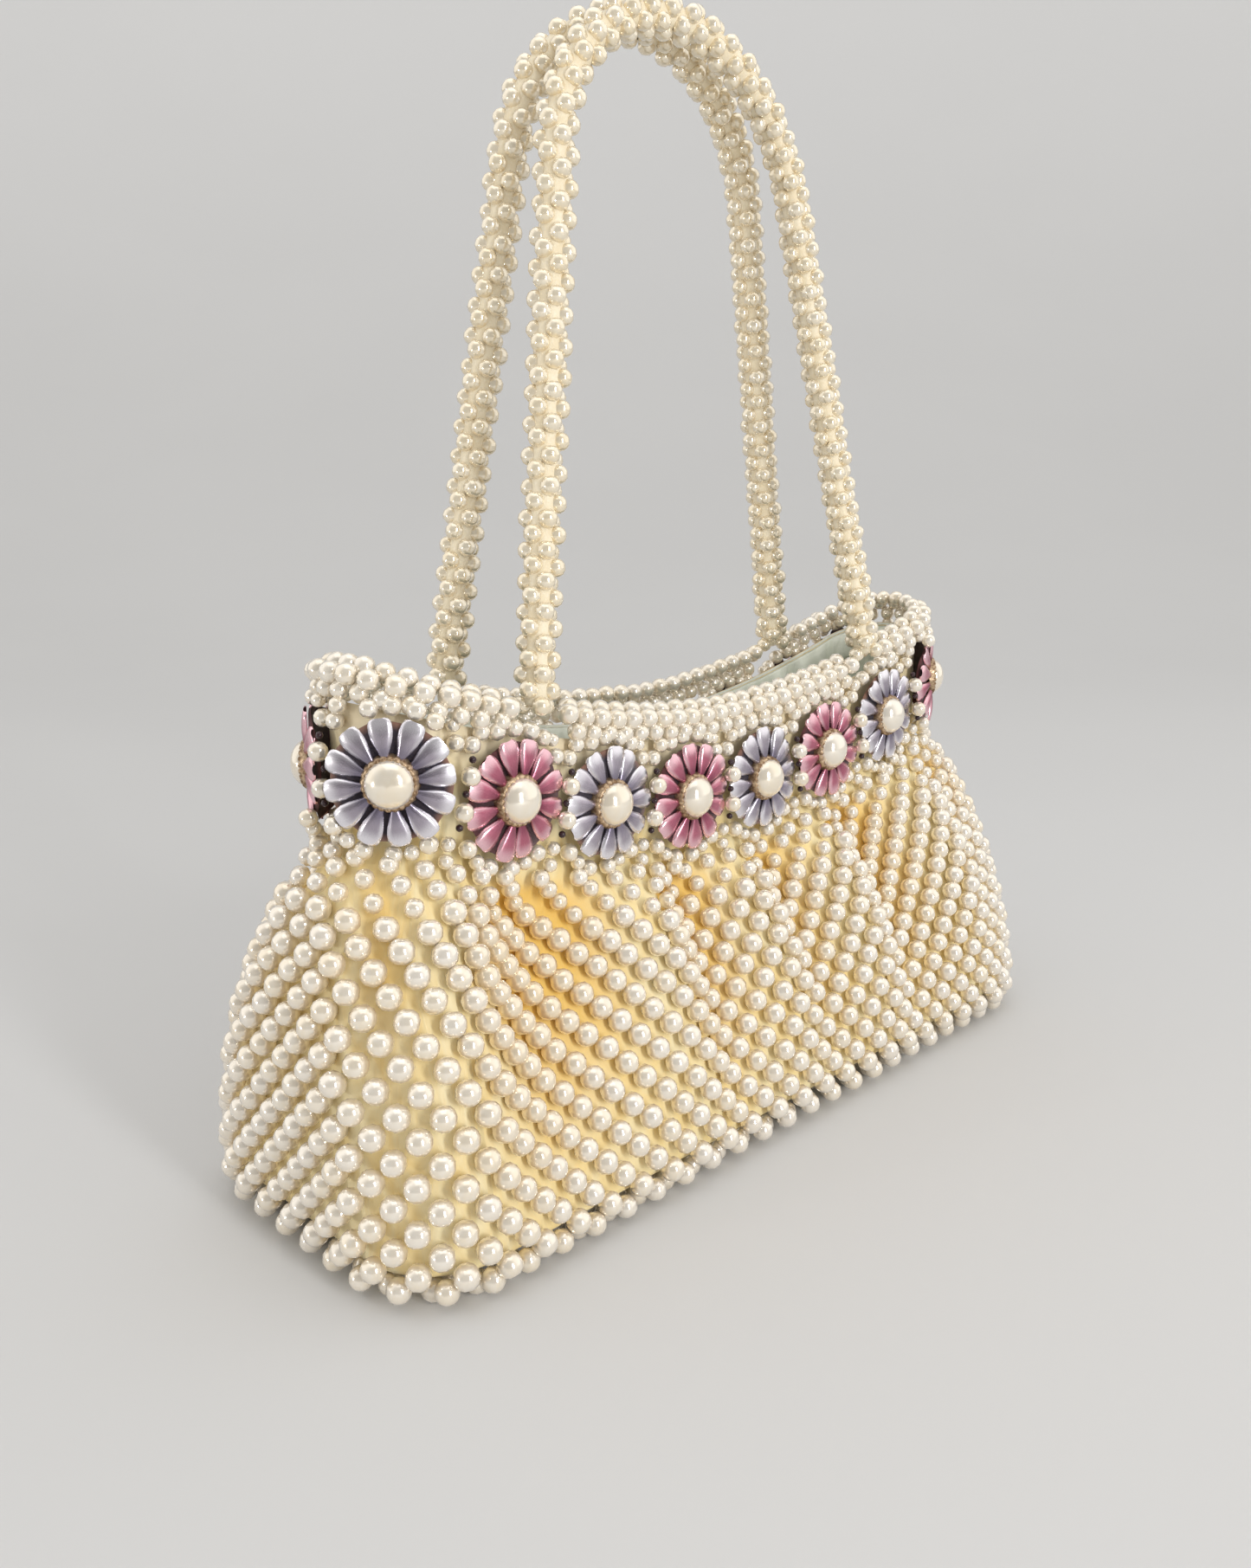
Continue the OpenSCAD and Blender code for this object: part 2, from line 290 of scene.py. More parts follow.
# count points at equal spacing round a ring, starting at the middle of the front.
def evenColumns(ring, count):
    loop = np.roll(ring, -frontMiddle, 0)
    along, whole = lengthsAlong(loop)
    closed = np.vstack([loop, loop[:1]])
    at = np.arange(count) / count * whole
    return np.stack([np.interp(at, np.append(along, whole), closed[:, k]) for k in range(3)], 1)


def alongPath(path, places):
    steps = np.linalg.norm(np.diff(path, axis=0), axis=1)
    along = np.concatenate([[0], np.cumsum(steps)])
    return np.stack([np.interp(places * along[-1], along, path[:, k]) for k in range(3)], 1), along[-1]


# Place and outward heading on the mouth's centre line, s metres right of the front's middle.
def mouthSpot(s):
    face = mouth["halfLength"] - mouth["corner"]
    edge = 2 * (mouth["halfDepth"] - mouth["corner"])
    radius = mouth["corner"]
    bend = radius * math.pi / 2
    half = 2 * face + 2 * bend + edge
    u = s % (2 * half)
    v = u % half
    if v <= face:
        spot = (v, -mouth["halfDepth"], -math.pi / 2)
    elif v <= face + bend:
        w = (v - face) / radius
        spot = (face + radius * math.sin(w), -edge / 2 - radius * math.cos(w), w - math.pi / 2)
    elif v <= face + bend + edge:
        spot = (mouth["halfLength"], v - face - bend - edge / 2, 0)
    elif v <= face + 2 * bend + edge:
        w = (v - face - bend - edge) / radius
        spot = (face + radius * math.cos(w), edge / 2 + radius * math.sin(w), w)
    else:
        spot = (half - v, mouth["halfDepth"], math.pi / 2)
    return spot if u < half else (-spot[0], -spot[1], spot[2] + math.pi)


# Middle of the band at s, with the band's own right, up and outward directions.
def bandFrame(s):
    x, y, heading = mouthSpot(s)
    outward = np.array([math.cos(heading), math.sin(heading), 0])
    level = np.array([-math.sin(heading), math.cos(heading), 0])
    reach = daisyPitch / 4
    climb = bandZ(mouthSpot(s + reach)[0]) - bandZ(mouthSpot(s - reach)[0])
    slope = math.atan2(climb, 2 * reach)
    right = math.cos(slope) * level + math.sin(slope) * np.array([0, 0, 1])
    up = math.cos(slope) * np.array([0, 0, 1]) - math.sin(slope) * level
    return np.array([x, y, bandZ(x)]), right, up, outward


def onBand(s, across, rise, out):
    middle, right, up, outward = bandFrame(s)
    return middle + right * across + up * rise + outward * out


# Node group helpers


def link(tree, a, b):
    tree.links.new(a, b)


def geometryTree(name, inputs):
    tree = bpy.data.node_groups.new(name, "GeometryNodeTree")
    tree.interface.new_socket("Geometry", in_out="INPUT", socket_type="NodeSocketGeometry")
    for label, kind in inputs:
        tree.interface.new_socket(label, in_out="INPUT", socket_type=kind)
    tree.interface.new_socket("Geometry", in_out="OUTPUT", socket_type="NodeSocketGeometry")
    return tree


def field(tree, name, kind):
    node = tree.nodes.new("GeometryNodeInputNamedAttribute")
    node.data_type = kind
    node.inputs["Name"].default_value = name
    return node.outputs["Attribute"]


# A smooth bead on every point, with its hole along the point's beadAxis.
def makeBeadTree():
    tree = geometryTree("beadsOnPoints", [
        ("Faces Across", "NodeSocketInt"), ("Roll Seed", "NodeSocketInt"),
        ("Finish", "NodeSocketMaterial")])
    nodes = tree.nodes
    source = nodes.new("NodeGroupInput")
    result = nodes.new("NodeGroupOutput")
    count = nodes.new("ShaderNodeMath")
    count.operation = "ADD"
    count.inputs[1].default_value = 1
    cube = nodes.new("GeometryNodeMeshCube")
    place = nodes.new("GeometryNodeInputPosition")
    unit = nodes.new("ShaderNodeVectorMath")
    unit.operation = "NORMALIZE"
    rounded = nodes.new("GeometryNodeSetPosition")
    smooth = nodes.new("GeometryNodeSetShadeSmooth")
    local = nodes.new("GeometryNodeStoreNamedAttribute")
    local.data_type = "FLOAT_VECTOR"
    local.domain = "POINT"
    local.inputs["Name"].default_value = "beadLocal"
    aim = nodes.new("FunctionNodeAlignRotationToVector")
    aim.axis = "Z"
    roll = nodes.new("FunctionNodeRandomValue")
    roll.data_type = "FLOAT"
    roll.inputs[3].default_value = 6.283
    spin = nodes.new("FunctionNodeAxisAngleToRotation")
    spin.inputs["Axis"].default_value = (0, 0, 1)
    turned = nodes.new("FunctionNodeRotateRotation")
    turned.rotation_space = "LOCAL"
    copies = nodes.new("GeometryNodeInstanceOnPoints")
    real = nodes.new("GeometryNodeRealizeInstances")
    finish = nodes.new("GeometryNodeSetMaterial")
    link(tree, source.outputs["Faces Across"], count.inputs[0])
    for side in ("Vertices X", "Vertices Y", "Vertices Z"):
        link(tree, count.outputs[0], cube.inputs[side])
    link(tree, place.outputs[0], unit.inputs[0])
    link(tree, cube.outputs["Mesh"], rounded.inputs["Geometry"])
    link(tree, unit.outputs[0], rounded.inputs["Position"])
    link(tree, rounded.outputs[0], smooth.inputs["Geometry"])
    link(tree, smooth.outputs[0], local.inputs["Geometry"])
    link(tree, place.outputs[0], local.inputs["Value"])
    link(tree, field(tree, "beadAxis", "FLOAT_VECTOR"), aim.inputs["Vector"])
    link(tree, source.outputs["Roll Seed"], roll.inputs["Seed"])
    link(tree, roll.outputs[1], spin.inputs["Angle"])
    link(tree, aim.outputs[0], turned.inputs["Rotation"])
    link(tree, spin.outputs[0], turned.inputs["Rotate By"])
    link(tree, source.outputs["Geometry"], copies.inputs["Points"])
    link(tree, local.outputs[0], copies.inputs["Instance"])
    link(tree, turned.outputs[0], copies.inputs["Rotation"])
    link(tree, field(tree, "beadRadius", "FLOAT"), copies.inputs["Scale"])
    link(tree, copies.outputs[0], real.inputs[0])
    link(tree, real.outputs[0], finish.inputs["Geometry"])
    link(tree, source.outputs["Finish"], finish.inputs["Material"])
    link(tree, finish.outputs[0], result.inputs[0])
    return tree


# The shape object on every point, turned by the point's own angles and sized by its scale.
def makeCopyTree():
    tree = geometryTree("copiesOnPoints", [
        ("Shape", "NodeSocketObject"), ("Finish", "NodeSocketMaterial")])
    nodes = tree.nodes
    source = nodes.new("NodeGroupInput")
    result = nodes.new("NodeGroupOutput")
    shape = nodes.new("GeometryNodeObjectInfo")
    turn = nodes.new("FunctionNodeEulerToRotation")
    copies = nodes.new("GeometryNodeInstanceOnPoints")
    real = nodes.new("GeometryNodeRealizeInstances")
    finish = nodes.new("GeometryNodeSetMaterial")
    link(tree, source.outputs["Shape"], shape.inputs["Object"])
    link(tree, field(tree, "copyTurn", "FLOAT_VECTOR"), turn.inputs[0])
    link(tree, source.outputs["Geometry"], copies.inputs["Points"])
    link(tree, shape.outputs["Geometry"], copies.inputs["Instance"])
    link(tree, turn.outputs[0], copies.inputs["Rotation"])
    link(tree, field(tree, "copyScale", "FLOAT_VECTOR"), copies.inputs["Scale"])
    link(tree, copies.outputs[0], real.inputs[0])
    link(tree, real.outputs[0], finish.inputs["Geometry"])
    link(tree, source.outputs["Finish"], finish.inputs["Material"])
    link(tree, finish.outputs[0], result.inputs[0])
    return tree


def meshPiece(name, points, faces, fields=None, smooth=True):
    mesh = bpy.data.meshes.new(name)
    mesh.from_pydata([tuple(map(float, p)) for p in points], [], faces)
    for label, values in (fields or {}).items():
        values = np.asarray(values, dtype=np.float32)
        wide = values.ndim == 2
        layer = mesh.attributes.new(label, "FLOAT_VECTOR" if wide else "FLOAT", "POINT")
        layer.data.foreach_set("vector" if wide else "value", values.ravel())
    if smooth and faces:
        mesh.shade_smooth()
    piece = bpy.data.objects.new(name, mesh)
    scene.collection.objects.link(piece)
    return piece


# Runs a node tree on a piece once and keeps the result as its plain mesh.
def grown(piece, tree, values):
    modifier = piece.modifiers.new("growth", "NODES")
    modifier.node_group = tree
    for item in tree.interface.items_tree:
        if item.in_out == "INPUT" and item.name in values:
            modifier[item.identifier] = values[item.name]
    graph = bpy.context.evaluated_depsgraph_get()
    made = bpy.data.meshes.new_from_object(
        piece.evaluated_get(graph), preserve_all_data_layers=True, depsgraph=graph)
    piece.modifiers.clear()
    points = piece.data
    piece.data = made
    bpy.data.meshes.remove(points)
    made.name = piece.name
    return piece


beadTree = makeBeadTree()
copyTree = makeCopyTree()

# Material helpers


def material(name):
    made = bpy.data.materials.new(name)
    made.use_nodes = True
    nodes = made.node_tree.nodes
    shader = next(node for node in nodes if node.type == "BSDF_PRINCIPLED")
    return made, nodes, made.node_tree, shader


def attribute(tree, name):
    node = tree.nodes.new("ShaderNodeAttribute")
    node.attribute_name = name
    return node


def mathNode(tree, operation, a, b=None, clamp=False):
    node = tree.nodes.new("ShaderNodeMath")
    node.operation = operation
    node.use_clamp = clamp
    for slot, value in enumerate((a, b)):
        if value is None:
            continue
        if isinstance(value, (int, float)):
            node.inputs[slot].default_value = value
        else:
            tree.links.new(value, node.inputs[slot])
    return node.outputs[0]


def remap(tree, value, low, high, newLow, newHigh, smooth=True):
    node = tree.nodes.new("ShaderNodeMapRange")
    node.interpolation_type = "SMOOTHSTEP" if smooth else "LINEAR"
    tree.links.new(value, node.inputs["Value"])
    for label, number in zip(("From Min", "From Max", "To Min", "To Max"), (low, high, newLow, newHigh)):
        node.inputs[label].default_value = number
    return node.outputs["Result"]


def mixColour(tree, share, a, b, kind="MIX"):
    node = tree.nodes.new("ShaderNodeMix")
    node.data_type = "RGBA"
    node.blend_type = kind
    if isinstance(share, (int, float)):
        node.inputs[0].default_value = share
    else:
        tree.links.new(share, node.inputs[0])
    for slot, value in ((6, a), (7, b)):
        if isinstance(value, tuple):
            node.inputs[slot].default_value = (*value, 1)
        else:
            tree.links.new(value, node.inputs[slot])
    return node.outputs[2]


def noise(tree, vector, scale, detail=3, roughness=0.5, distortion=0.0):
    node = tree.nodes.new("ShaderNodeTexNoise")
    node.inputs["Scale"].default_value = scale
    node.inputs["Detail"].default_value = detail
    node.inputs["Roughness"].default_value = roughness
    node.inputs["Distortion"].default_value = distortion
    if vector is not None:
        tree.links.new(vector, node.inputs["Vector"])
    return node.outputs["Fac"]


def bump(tree, height, strength, distance):
    node = tree.nodes.new("ShaderNodeBump")
    node.inputs["Strength"].default_value = strength
    node.inputs["Distance"].default_value = distance
    tree.links.new(height, node.inputs["Height"])
    return node.outputs["Normal"]


def objectPlace(tree):
    return tree.nodes.new("ShaderNodeTexCoord").outputs["Object"]


# Coated bead: a cream body, a pale lustre on it, painted shade where it lies deep in a pleat, and a painted
# dark dot of shade in the string hole at each end.
def pearlMaterial(name, look):
    made, nodes, tree, shader = material(name)
    local = attribute(tree, "beadLocal").outputs["Vector"]
    tone = attribute(tree, "beadTone").outputs["Fac"]
    depth = attribute(tree, "beadDepth").outputs["Fac"]
    shifted = nodes.new("ShaderNodeVectorMath")
    shifted.operation = "ADD"
    offset = nodes.new("ShaderNodeCombineXYZ")
    for slot in range(3):
        tree.links.new(mathNode(tree, "MULTIPLY", tone, 37.0 + 11 * slot), offset.inputs[slot])
    tree.links.new(local, shifted.inputs[0])
    tree.links.new(offset.outputs[0], shifted.inputs[1])
    cloud = noise(tree, shifted.outputs[0], 1.4, 2)
    grain = noise(tree, shifted.outputs[0], 9, 2, 0.5)
    body = mixColour(tree, remap(tree, tone, 0, 1, 0, 1, False), look["cool"], look["warm"])
    body = mixColour(tree, remap(tree, cloud, 0.35, 0.7, 0, 0.55), body, look["cloud"])
    # painted shade: beads deep in a pleat or under the band are multiplied towards a warm shade colour
    shade = remap(tree, depth, 0.05, 1, 0, look["paintedShadeShare"])
    body = mixColour(tree, shade, body, look["paintedShade"], "MULTIPLY")
    pole = nodes.new("ShaderNodeSeparateXYZ")
    tree.links.new(local, pole.inputs[0])
    end = mathNode(tree, "ABSOLUTE", pole.outputs[2])
    # painted shade: a dark dot at each pole stands for the shade inside the string hole
    shadedHole = remap(tree, end, 0.955, 0.975, 0, 1)
    body = mixColour(tree, shadedHole, body, look["shadedHole"])
    tree.links.new(body, shader.inputs["Base Color"])
    rough = remap(tree, grain, 0.3, 0.7, look["roughness"] - 0.02, look["roughness"] + 0.04)
    rough = mathNode(tree, "ADD", rough, mathNode(tree, "MULTIPLY", shadedHole, 0.5), True)
    tree.links.new(rough, shader.inputs["Roughness"])
    solid = mathNode(tree, "SUBTRACT", 1.0, shadedHole)
    tree.links.new(mathNode(tree, "MULTIPLY", solid, look["metal"]), shader.inputs["Metallic"])
    shader.inputs["Coat Weight"].default_value = look["coat"]
    shader.inputs["Coat Roughness"].default_value = 0.03
    shader.inputs["Coat IOR"].default_value = 1.6
    shader.inputs["Specular IOR Level"].default_value = 0.6
    shader.inputs["Sheen Weight"].default_value = look["sheen"]
    shader.inputs["Sheen Roughness"].default_value = 0.3
    shader.inputs["Sheen Tint"].default_value = (1.0, 0.95, 0.86, 1)
    tree.links.new(bump(tree, solid, 0.35, 0.0003), shader.inputs["Normal"])
    return made


# Each look's darker warm colour is painted shade for beads deep in the pleats, and its dark hole colour is
# painted shade in the string hole.
pearlLooks = {
    "body": {
        "cool": (0.90, 0.83, 0.73), "warm": (0.90, 0.80, 0.64), "cloud": (0.94, 0.89, 0.81),
        "paintedShade": (0.93, 0.78, 0.52), "paintedShadeShare": 0.5, "shadedHole": (0.30, 0.20, 0.10),
        "roughness": 0.15, "metal": 0.52, "coat": 0.9, "sheen": 0.30,
    },
    "band": {
        "cool": (0.88, 0.81, 0.70), "warm": (0.88, 0.78, 0.62), "cloud": (0.92, 0.87, 0.78),
        "paintedShade": (0.88, 0.76, 0.56), "paintedShadeShare": 0.4, "shadedHole": (0.30, 0.21, 0.12),
        "roughness": 0.15, "metal": 0.52, "coat": 0.9, "sheen": 0.28,
    },
    "handle": {
        "cool": (0.87, 0.78, 0.62), "warm": (0.86, 0.74, 0.53), "cloud": (0.90, 0.83, 0.68),
        "paintedShade": (0.86, 0.72, 0.48), "paintedShadeShare": 0.4, "shadedHole": (0.30, 0.20, 0.10),
        "roughness": 0.15, "metal": 0.52, "coat": 0.9, "sheen": 0.26,
    },
}
bodyPearl = pearlMaterial("bodyPearl", pearlLooks["body"])
bandPearl = pearlMaterial("bandPearl", pearlLooks["band"])
handlePearl = pearlMaterial("handlePearl", pearlLooks["handle"])


# Satin anodised metal: darker along the middle, with a painted highlight towards the edges and outer end,
# painted shade towards the root, and fine brushed streaks.
def petalMaterial(name, look):
    made, nodes, tree, shader = material(name)
    across = attribute(tree, "petalAcross").outputs["Fac"]
    along = attribute(tree, "petalAlong").outputs["Fac"]
    tone = attribute(tree, "petalTone").outputs["Fac"]
    place = nodes.new("ShaderNodeCombineXYZ")
    tree.links.new(mathNode(tree, "MULTIPLY", across, 14.0), place.inputs[0])
    tree.links.new(mathNode(tree, "MULTIPLY", along, 2.2), place.inputs[1])
    tree.links.new(mathNode(tree, "MULTIPLY", tone, 41.0), place.inputs[2])
    streaks = noise(tree, place.outputs[0], 3.0, 4, 0.6)
    speckle = noise(tree, objectPlace(tree), 2600, 2)
    edge = mathNode(tree, "ABSOLUTE", across)
    # painted highlight: paler towards the edges
    colour = mixColour(tree, remap(tree, edge, 0.45, 1.0, 0, 1), look["middle"], look["edge"])
    # painted highlight: paler towards the outer end
    colour = mixColour(tree, remap(tree, along, 0.52, 0.92, 0, 0.95), colour, look["edge"])
    # painted shade: darker towards the root
    colour = mixColour(tree, remap(tree, along, 0.52, 0.05, 0, 0.9), colour, look["rootShade"])
    colour = mixColour(tree, remap(tree, streaks, 0.35, 0.75, 0, 0.3), colour, look["streak"])
    colour = mixColour(tree, remap(tree, tone, 0, 1, 0, 0.22, False), colour, look["streak"])
    tree.links.new(colour, shader.inputs["Base Color"])
    tree.links.new(remap(tree, streaks, 0.3, 0.7, 0.19, 0.29), shader.inputs["Roughness"])
    shader.inputs["Metallic"].default_value = look["metal"]
    shader.inputs["Coat Weight"].default_value = 0.12
    shader.inputs["Coat Roughness"].default_value = 0.25
    height = mathNode(
        tree, "ADD", mathNode(tree, "MULTIPLY", streaks, 0.5), mathNode(tree, "MULTIPLY", speckle, 0.5))
    tree.links.new(bump(tree, height, 0.04, 0.0002), shader.inputs["Normal"])
    return made


# edge is the painted highlight colour, the root colour is painted shade, and middle and streak are the
# metal's own colour
petalLooks = {
    "lilac": {
        "middle": (0.38, 0.34, 0.40), "edge": (0.95, 0.93, 0.98), "rootShade": (0.12, 0.10, 0.17),
        "streak": (0.55, 0.50, 0.55), "metal": 0.92,
    },
    "pink": {
        "middle": (0.48, 0.13, 0.20), "edge": (0.96, 0.64, 0.70), "rootShade": (0.20, 0.03, 0.07),
        "streak": (0.68, 0.31, 0.37), "metal": 0.92,
    },
}
petalLilac = petalMaterial("petalLilac", petalLooks["lilac"])
petalPink = petalMaterial("petalPink", petalLooks["pink"])


# Backing disc: dark near the middle, tan at its rim, with short fibres.
def feltMaterial():
    made, _, tree, shader = material("felt")
    along = attribute(tree, "feltRadius").outputs["Fac"]
    tone = attribute(tree, "feltTone").outputs["Fac"]
    fibre = noise(tree, objectPlace(tree), 2400, 5, 0.7, 0.8)
    tan = mixColour(tree, tone, (0.24, 0.12, 0.08), (0.08, 0.012, 0.018))
    core = mixColour(tree, tone, (0.010, 0.010, 0.026), (0.022, 0.004, 0.010))
    colour = mixColour(tree, remap(tree, along, 0.80, 0.98, 0, 1), core, tan)
    colour = mixColour(tree, remap(tree, fibre, 0.35, 0.7, 0, 0.16), colour, (0.36, 0.22, 0.17))
    tree.links.new(colour, shader.inputs["Base Color"])
    shader.inputs["Roughness"].default_value = 0.9
    shader.inputs["Sheen Weight"].default_value = 0.3
    tree.links.new(bump(tree, fibre, 0.5, 0.0003), shader.inputs["Normal"])
    return made


# Aged gilt ring that holds the half pearl.
def settingMaterial():
    made, _, tree, shader = material("setting")
    worn = noise(tree, objectPlace(tree), 900, 4, 0.6)
    fine = noise(tree, objectPlace(tree), 4200, 2)
    colour = mixColour(tree, remap(tree, worn, 0.35, 0.65, 0, 1), (0.22, 0.13, 0.07), (0.62, 0.46, 0.30))
    tree.links.new(colour, shader.inputs["Base Color"])
    tree.links.new(remap(tree, worn, 0.3, 0.7, 0.55, 0.30), shader.inputs["Roughness"])
    shader.inputs["Metallic"].default_value = 0.8
    tree.links.new(bump(tree, fine, 0.3, 0.0002), shader.inputs["Normal"])
    return made


# Small dark glass bead.
def seedMaterial():
    made, nodes, tree, shader = material("darkSeed")
    local = attribute(tree, "beadLocal").outputs["Vector"]
    cloud = noise(tree, local, 2.2, 2)
    colour = mixColour(tree, cloud, (0.008, 0.006, 0.010), (0.05, 0.015, 0.02))
    tree.links.new(colour, shader.inputs["Base Color"])
    tree.links.new(remap(tree, cloud, 0.3, 0.7, 0.12, 0.24), shader.inputs["Roughness"])
    return made


# Creamy cord with fine strands of nylon laid round it.
def coreMaterial():
    made, _, tree, shader = material("coreCord")
    place = objectPlace(tree)
    strand = noise(tree, place, 1500, 3, 0.6, 0.6)
    cloud = noise(tree, place, 160, 2)
    colour = mixColour(tree, remap(tree, cloud, 0.35, 0.65, 0, 1), (0.84, 0.72, 0.50), (0.90, 0.80, 0.60))
    colour = mixColour(tree, remap(tree, strand, 0.45, 0.75, 0, 0.5), colour, (0.93, 0.86, 0.72))
    tree.links.new(colour, shader.inputs["Base Color"])
    tree.links.new(remap(tree, strand, 0.3, 0.7, 0.55, 0.35), shader.inputs["Roughness"])
    shader.inputs["Sheen Weight"].default_value = 0.3
    tree.links.new(bump(tree, strand, 0.5, 0.0004), shader.inputs["Normal"])
    return made


# Woven satin: long floats with a painted sheen, soft creases painted darker in their hollows, and painted
# amber shade deep in the pleats.
def satinMaterial(name, look):
    made, nodes, tree, shader = material(name)
    run = attribute(tree, "clothAlong").outputs["Fac"]
    rise = attribute(tree, "clothUp").outputs["Fac"]
    cloth = nodes.new("ShaderNodeCombineXYZ")
    tree.links.new(run, cloth.inputs[0])
    tree.links.new(rise, cloth.inputs[1])
    stretched = nodes.new("ShaderNodeMapping")
    stretched.inputs["Scale"].default_value = (5200, 900, 1)
    tree.links.new(cloth.outputs[0], stretched.inputs["Vector"])
    floats = noise(tree, stretched.outputs[0], 1.0, 2, 0.6)
    creaseMap = nodes.new("ShaderNodeMapping")
    creaseMap.inputs["Scale"].default_value = (90, 34, 1)
    creaseMap.inputs["Rotation"].default_value = (0, 0, 0.5)
    tree.links.new(cloth.outputs[0], creaseMap.inputs["Vector"])
    crease = noise(tree, creaseMap.outputs[0], 1.0, 3, 0.55, 1.2)
    # painted shade: the colour is darker where the crease bump is low
    colour = mixColour(tree, remap(tree, crease, 0.3, 0.7, 0, 1), look["dark"], look["light"])
    # painted shade: the colour turns darker amber deep in the pleats
    foldShade = attribute(tree, "clothFold").outputs["Fac"]
    colour = mixColour(tree, remap(tree, foldShade, 0.05, 0.8, 0, 0.95), colour, look["paintedShade"])
    pale = attribute(tree, "clothPale").outputs["Fac"]
    colour = mixColour(tree, pale, colour, look["pale"])
    # painted sheen: the long floats are mixed towards a paler colour
    colour = mixColour(tree, remap(tree, floats, 0.3, 0.7, 0, 0.12), colour, look["floatSheen"])
    tree.links.new(colour, shader.inputs["Base Color"])
    tree.links.new(
        remap(tree, floats, 0.3, 0.7, look["roughness"] - 0.05, look["roughness"] + 0.07),
        shader.inputs["Roughness"])
    shader.inputs["Sheen Weight"].default_value = look["sheen"]
    shader.inputs["Sheen Roughness"].default_value = 0.35
    height = mathNode(
        tree, "ADD", mathNode(tree, "MULTIPLY", crease, 1.0), mathNode(tree, "MULTIPLY", floats, 0.05))
    tree.links.new(bump(tree, height, look["crease"], 0.0018), shader.inputs["Normal"])
    return made


# dark and light are the painted shade and lit sides of the soft creases, the deep colour is painted shade in
# the pleats, and the float colour is a painted sheen
satinLooks = {
    "outer": {
        "dark": (0.97, 0.77, 0.36), "light": (0.98, 0.87, 0.56), "floatSheen": (0.96, 0.88, 0.62),
        "paintedShade": (0.94, 0.62, 0.13), "pale": (0.97, 0.84, 0.60),
        "roughness": 0.50, "sheen": 0.15, "crease": 0.4,
    },
    "inner": {
        "dark": (0.74, 0.78, 0.66), "light": (0.85, 0.88, 0.78), "floatSheen": (0.90, 0.92, 0.86),
        "paintedShade": (0.66, 0.70, 0.58), "pale": (0.76, 0.79, 0.70),
        "roughness": 0.36, "sheen": 0.25, "crease": 0.6,
    },
}
satinOuter = satinMaterial("satinOuter", satinLooks["outer"])
satinInner = satinMaterial("satinInner", satinLooks["inner"])
felt = feltMaterial()
gilt = settingMaterial()
darkSeed = seedMaterial()
coreCord = coreMaterial()
print("materials made")

# Beads on the pouch

random = np.random.default_rng(7)


# spots is a list of (place, diameter, hole axis, share of painted shade).
def beadPiece(name, spots, finish, nodes, body="bag", faces=beadFaces):
    places = np.array([spot[0] for spot in spots])
    count = len(spots)
    size = np.array([spot[1] for spot in spots]) / 2
    fields = {
        "beadRadius": size * (1 + random.normal(0, 0.012, count)),
        "beadAxis": np.array([spot[2] for spot in spots]) + random.normal(0, 0.06, (count, 3)),
        "beadTone": random.random(count),
        "beadDepth": np.array([spot[3] for spot in spots]),
    }
    places = places + random.normal(0, 0.00012, places.shape)
    piece = meshPiece(name, places, [], fields)
    grown(piece, beadTree, {"Faces Across": faces, "Roll Seed": 5, "Finish": finish})
    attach(piece, body)
    if nodes:
        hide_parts(*nodes)
    return piece


# Every half column's path down the pouch, and its place along the mouth.
def columnPaths():
    rings = [evenColumns(ring, pouch["columns"]) for ring in weaveStack(pouch["weave"] / 2)]
    stack = np.stack(rings)
    return [stack[:, j] for j in range(pouch["columns"])]


# Which panel a place belongs to, from its share of the way round the mouth.
def sideOf(share):
    s = (share * mouthRound + mouthRound / 2) % mouthRound - mouthRound / 2
    edge = mouth["halfLength"] - mouth["corner"] + mouth["corner"] * math.pi * 0.2
    if abs(s) <= edge:
        return "front"
    if abs(s) >= mouthRound / 2 - edge:
        return "back"
    return "rightEnd" if s > 0 else "leftEnd"


paths = columnPaths()
panelNodes = {
    "front": ("woven_front",), "back": ("woven_back",),
    "leftEnd": ("woven_left_end",), "rightEnd": ("woven_right_end",),
}
panels = {side: [] for side in panelNodes}
for j, path in enumerate(paths):
    share = j / pouch["columns"]
    depth = pleatProfile(np.array([(share + 0.5) % 1 * mouthRound - mouthRound / 2]))[0] / 0.008
    line, length = alongPath(path, np.linspace(0, 1, 400))
    start = pouch["firstRow"] / length
    beside = paths[(j + 1) % len(paths)] - paths[j - 1]
    # the rows keep one even step from the base up, so a shorter column simply holds fewer of them
    heights = [1 - row * pouch["halfRow"] / length for row in range(j % 2, 40, 2)]
    heights = [at for at in heights if at >= start]
    if (heights[-1] - start) * length > 1.5 * pouch["halfRow"]:
        heights.append(start)
    for row, at in enumerate(heights):
        place = alongPath(path, np.array([at]))[0][0]
        small = (at - start) * length < pouch["smallRows"] * pouch["halfRow"]
        size = pouch["smallBead"] if small else pouch["bead"] if row else pouch["baseBead"]
        across = beside[int(at * (len(beside) - 1))]
        down = path[-1] - path[0]
        axis = (across if row % 2 else down)
        # painted shade, stronger the deeper the bead lies in a pleat
        shade = depth * pleatStrength(max(0, 1 - at)) * 0.9
        panels[sideOf(share)].append((place, size, axis / np.linalg.norm(axis), max(0, shade)))
for side, spots in panels.items():
    beadPiece("weave" + side[0].upper() + side[1:], spots, bodyPearl, panelNodes[side])


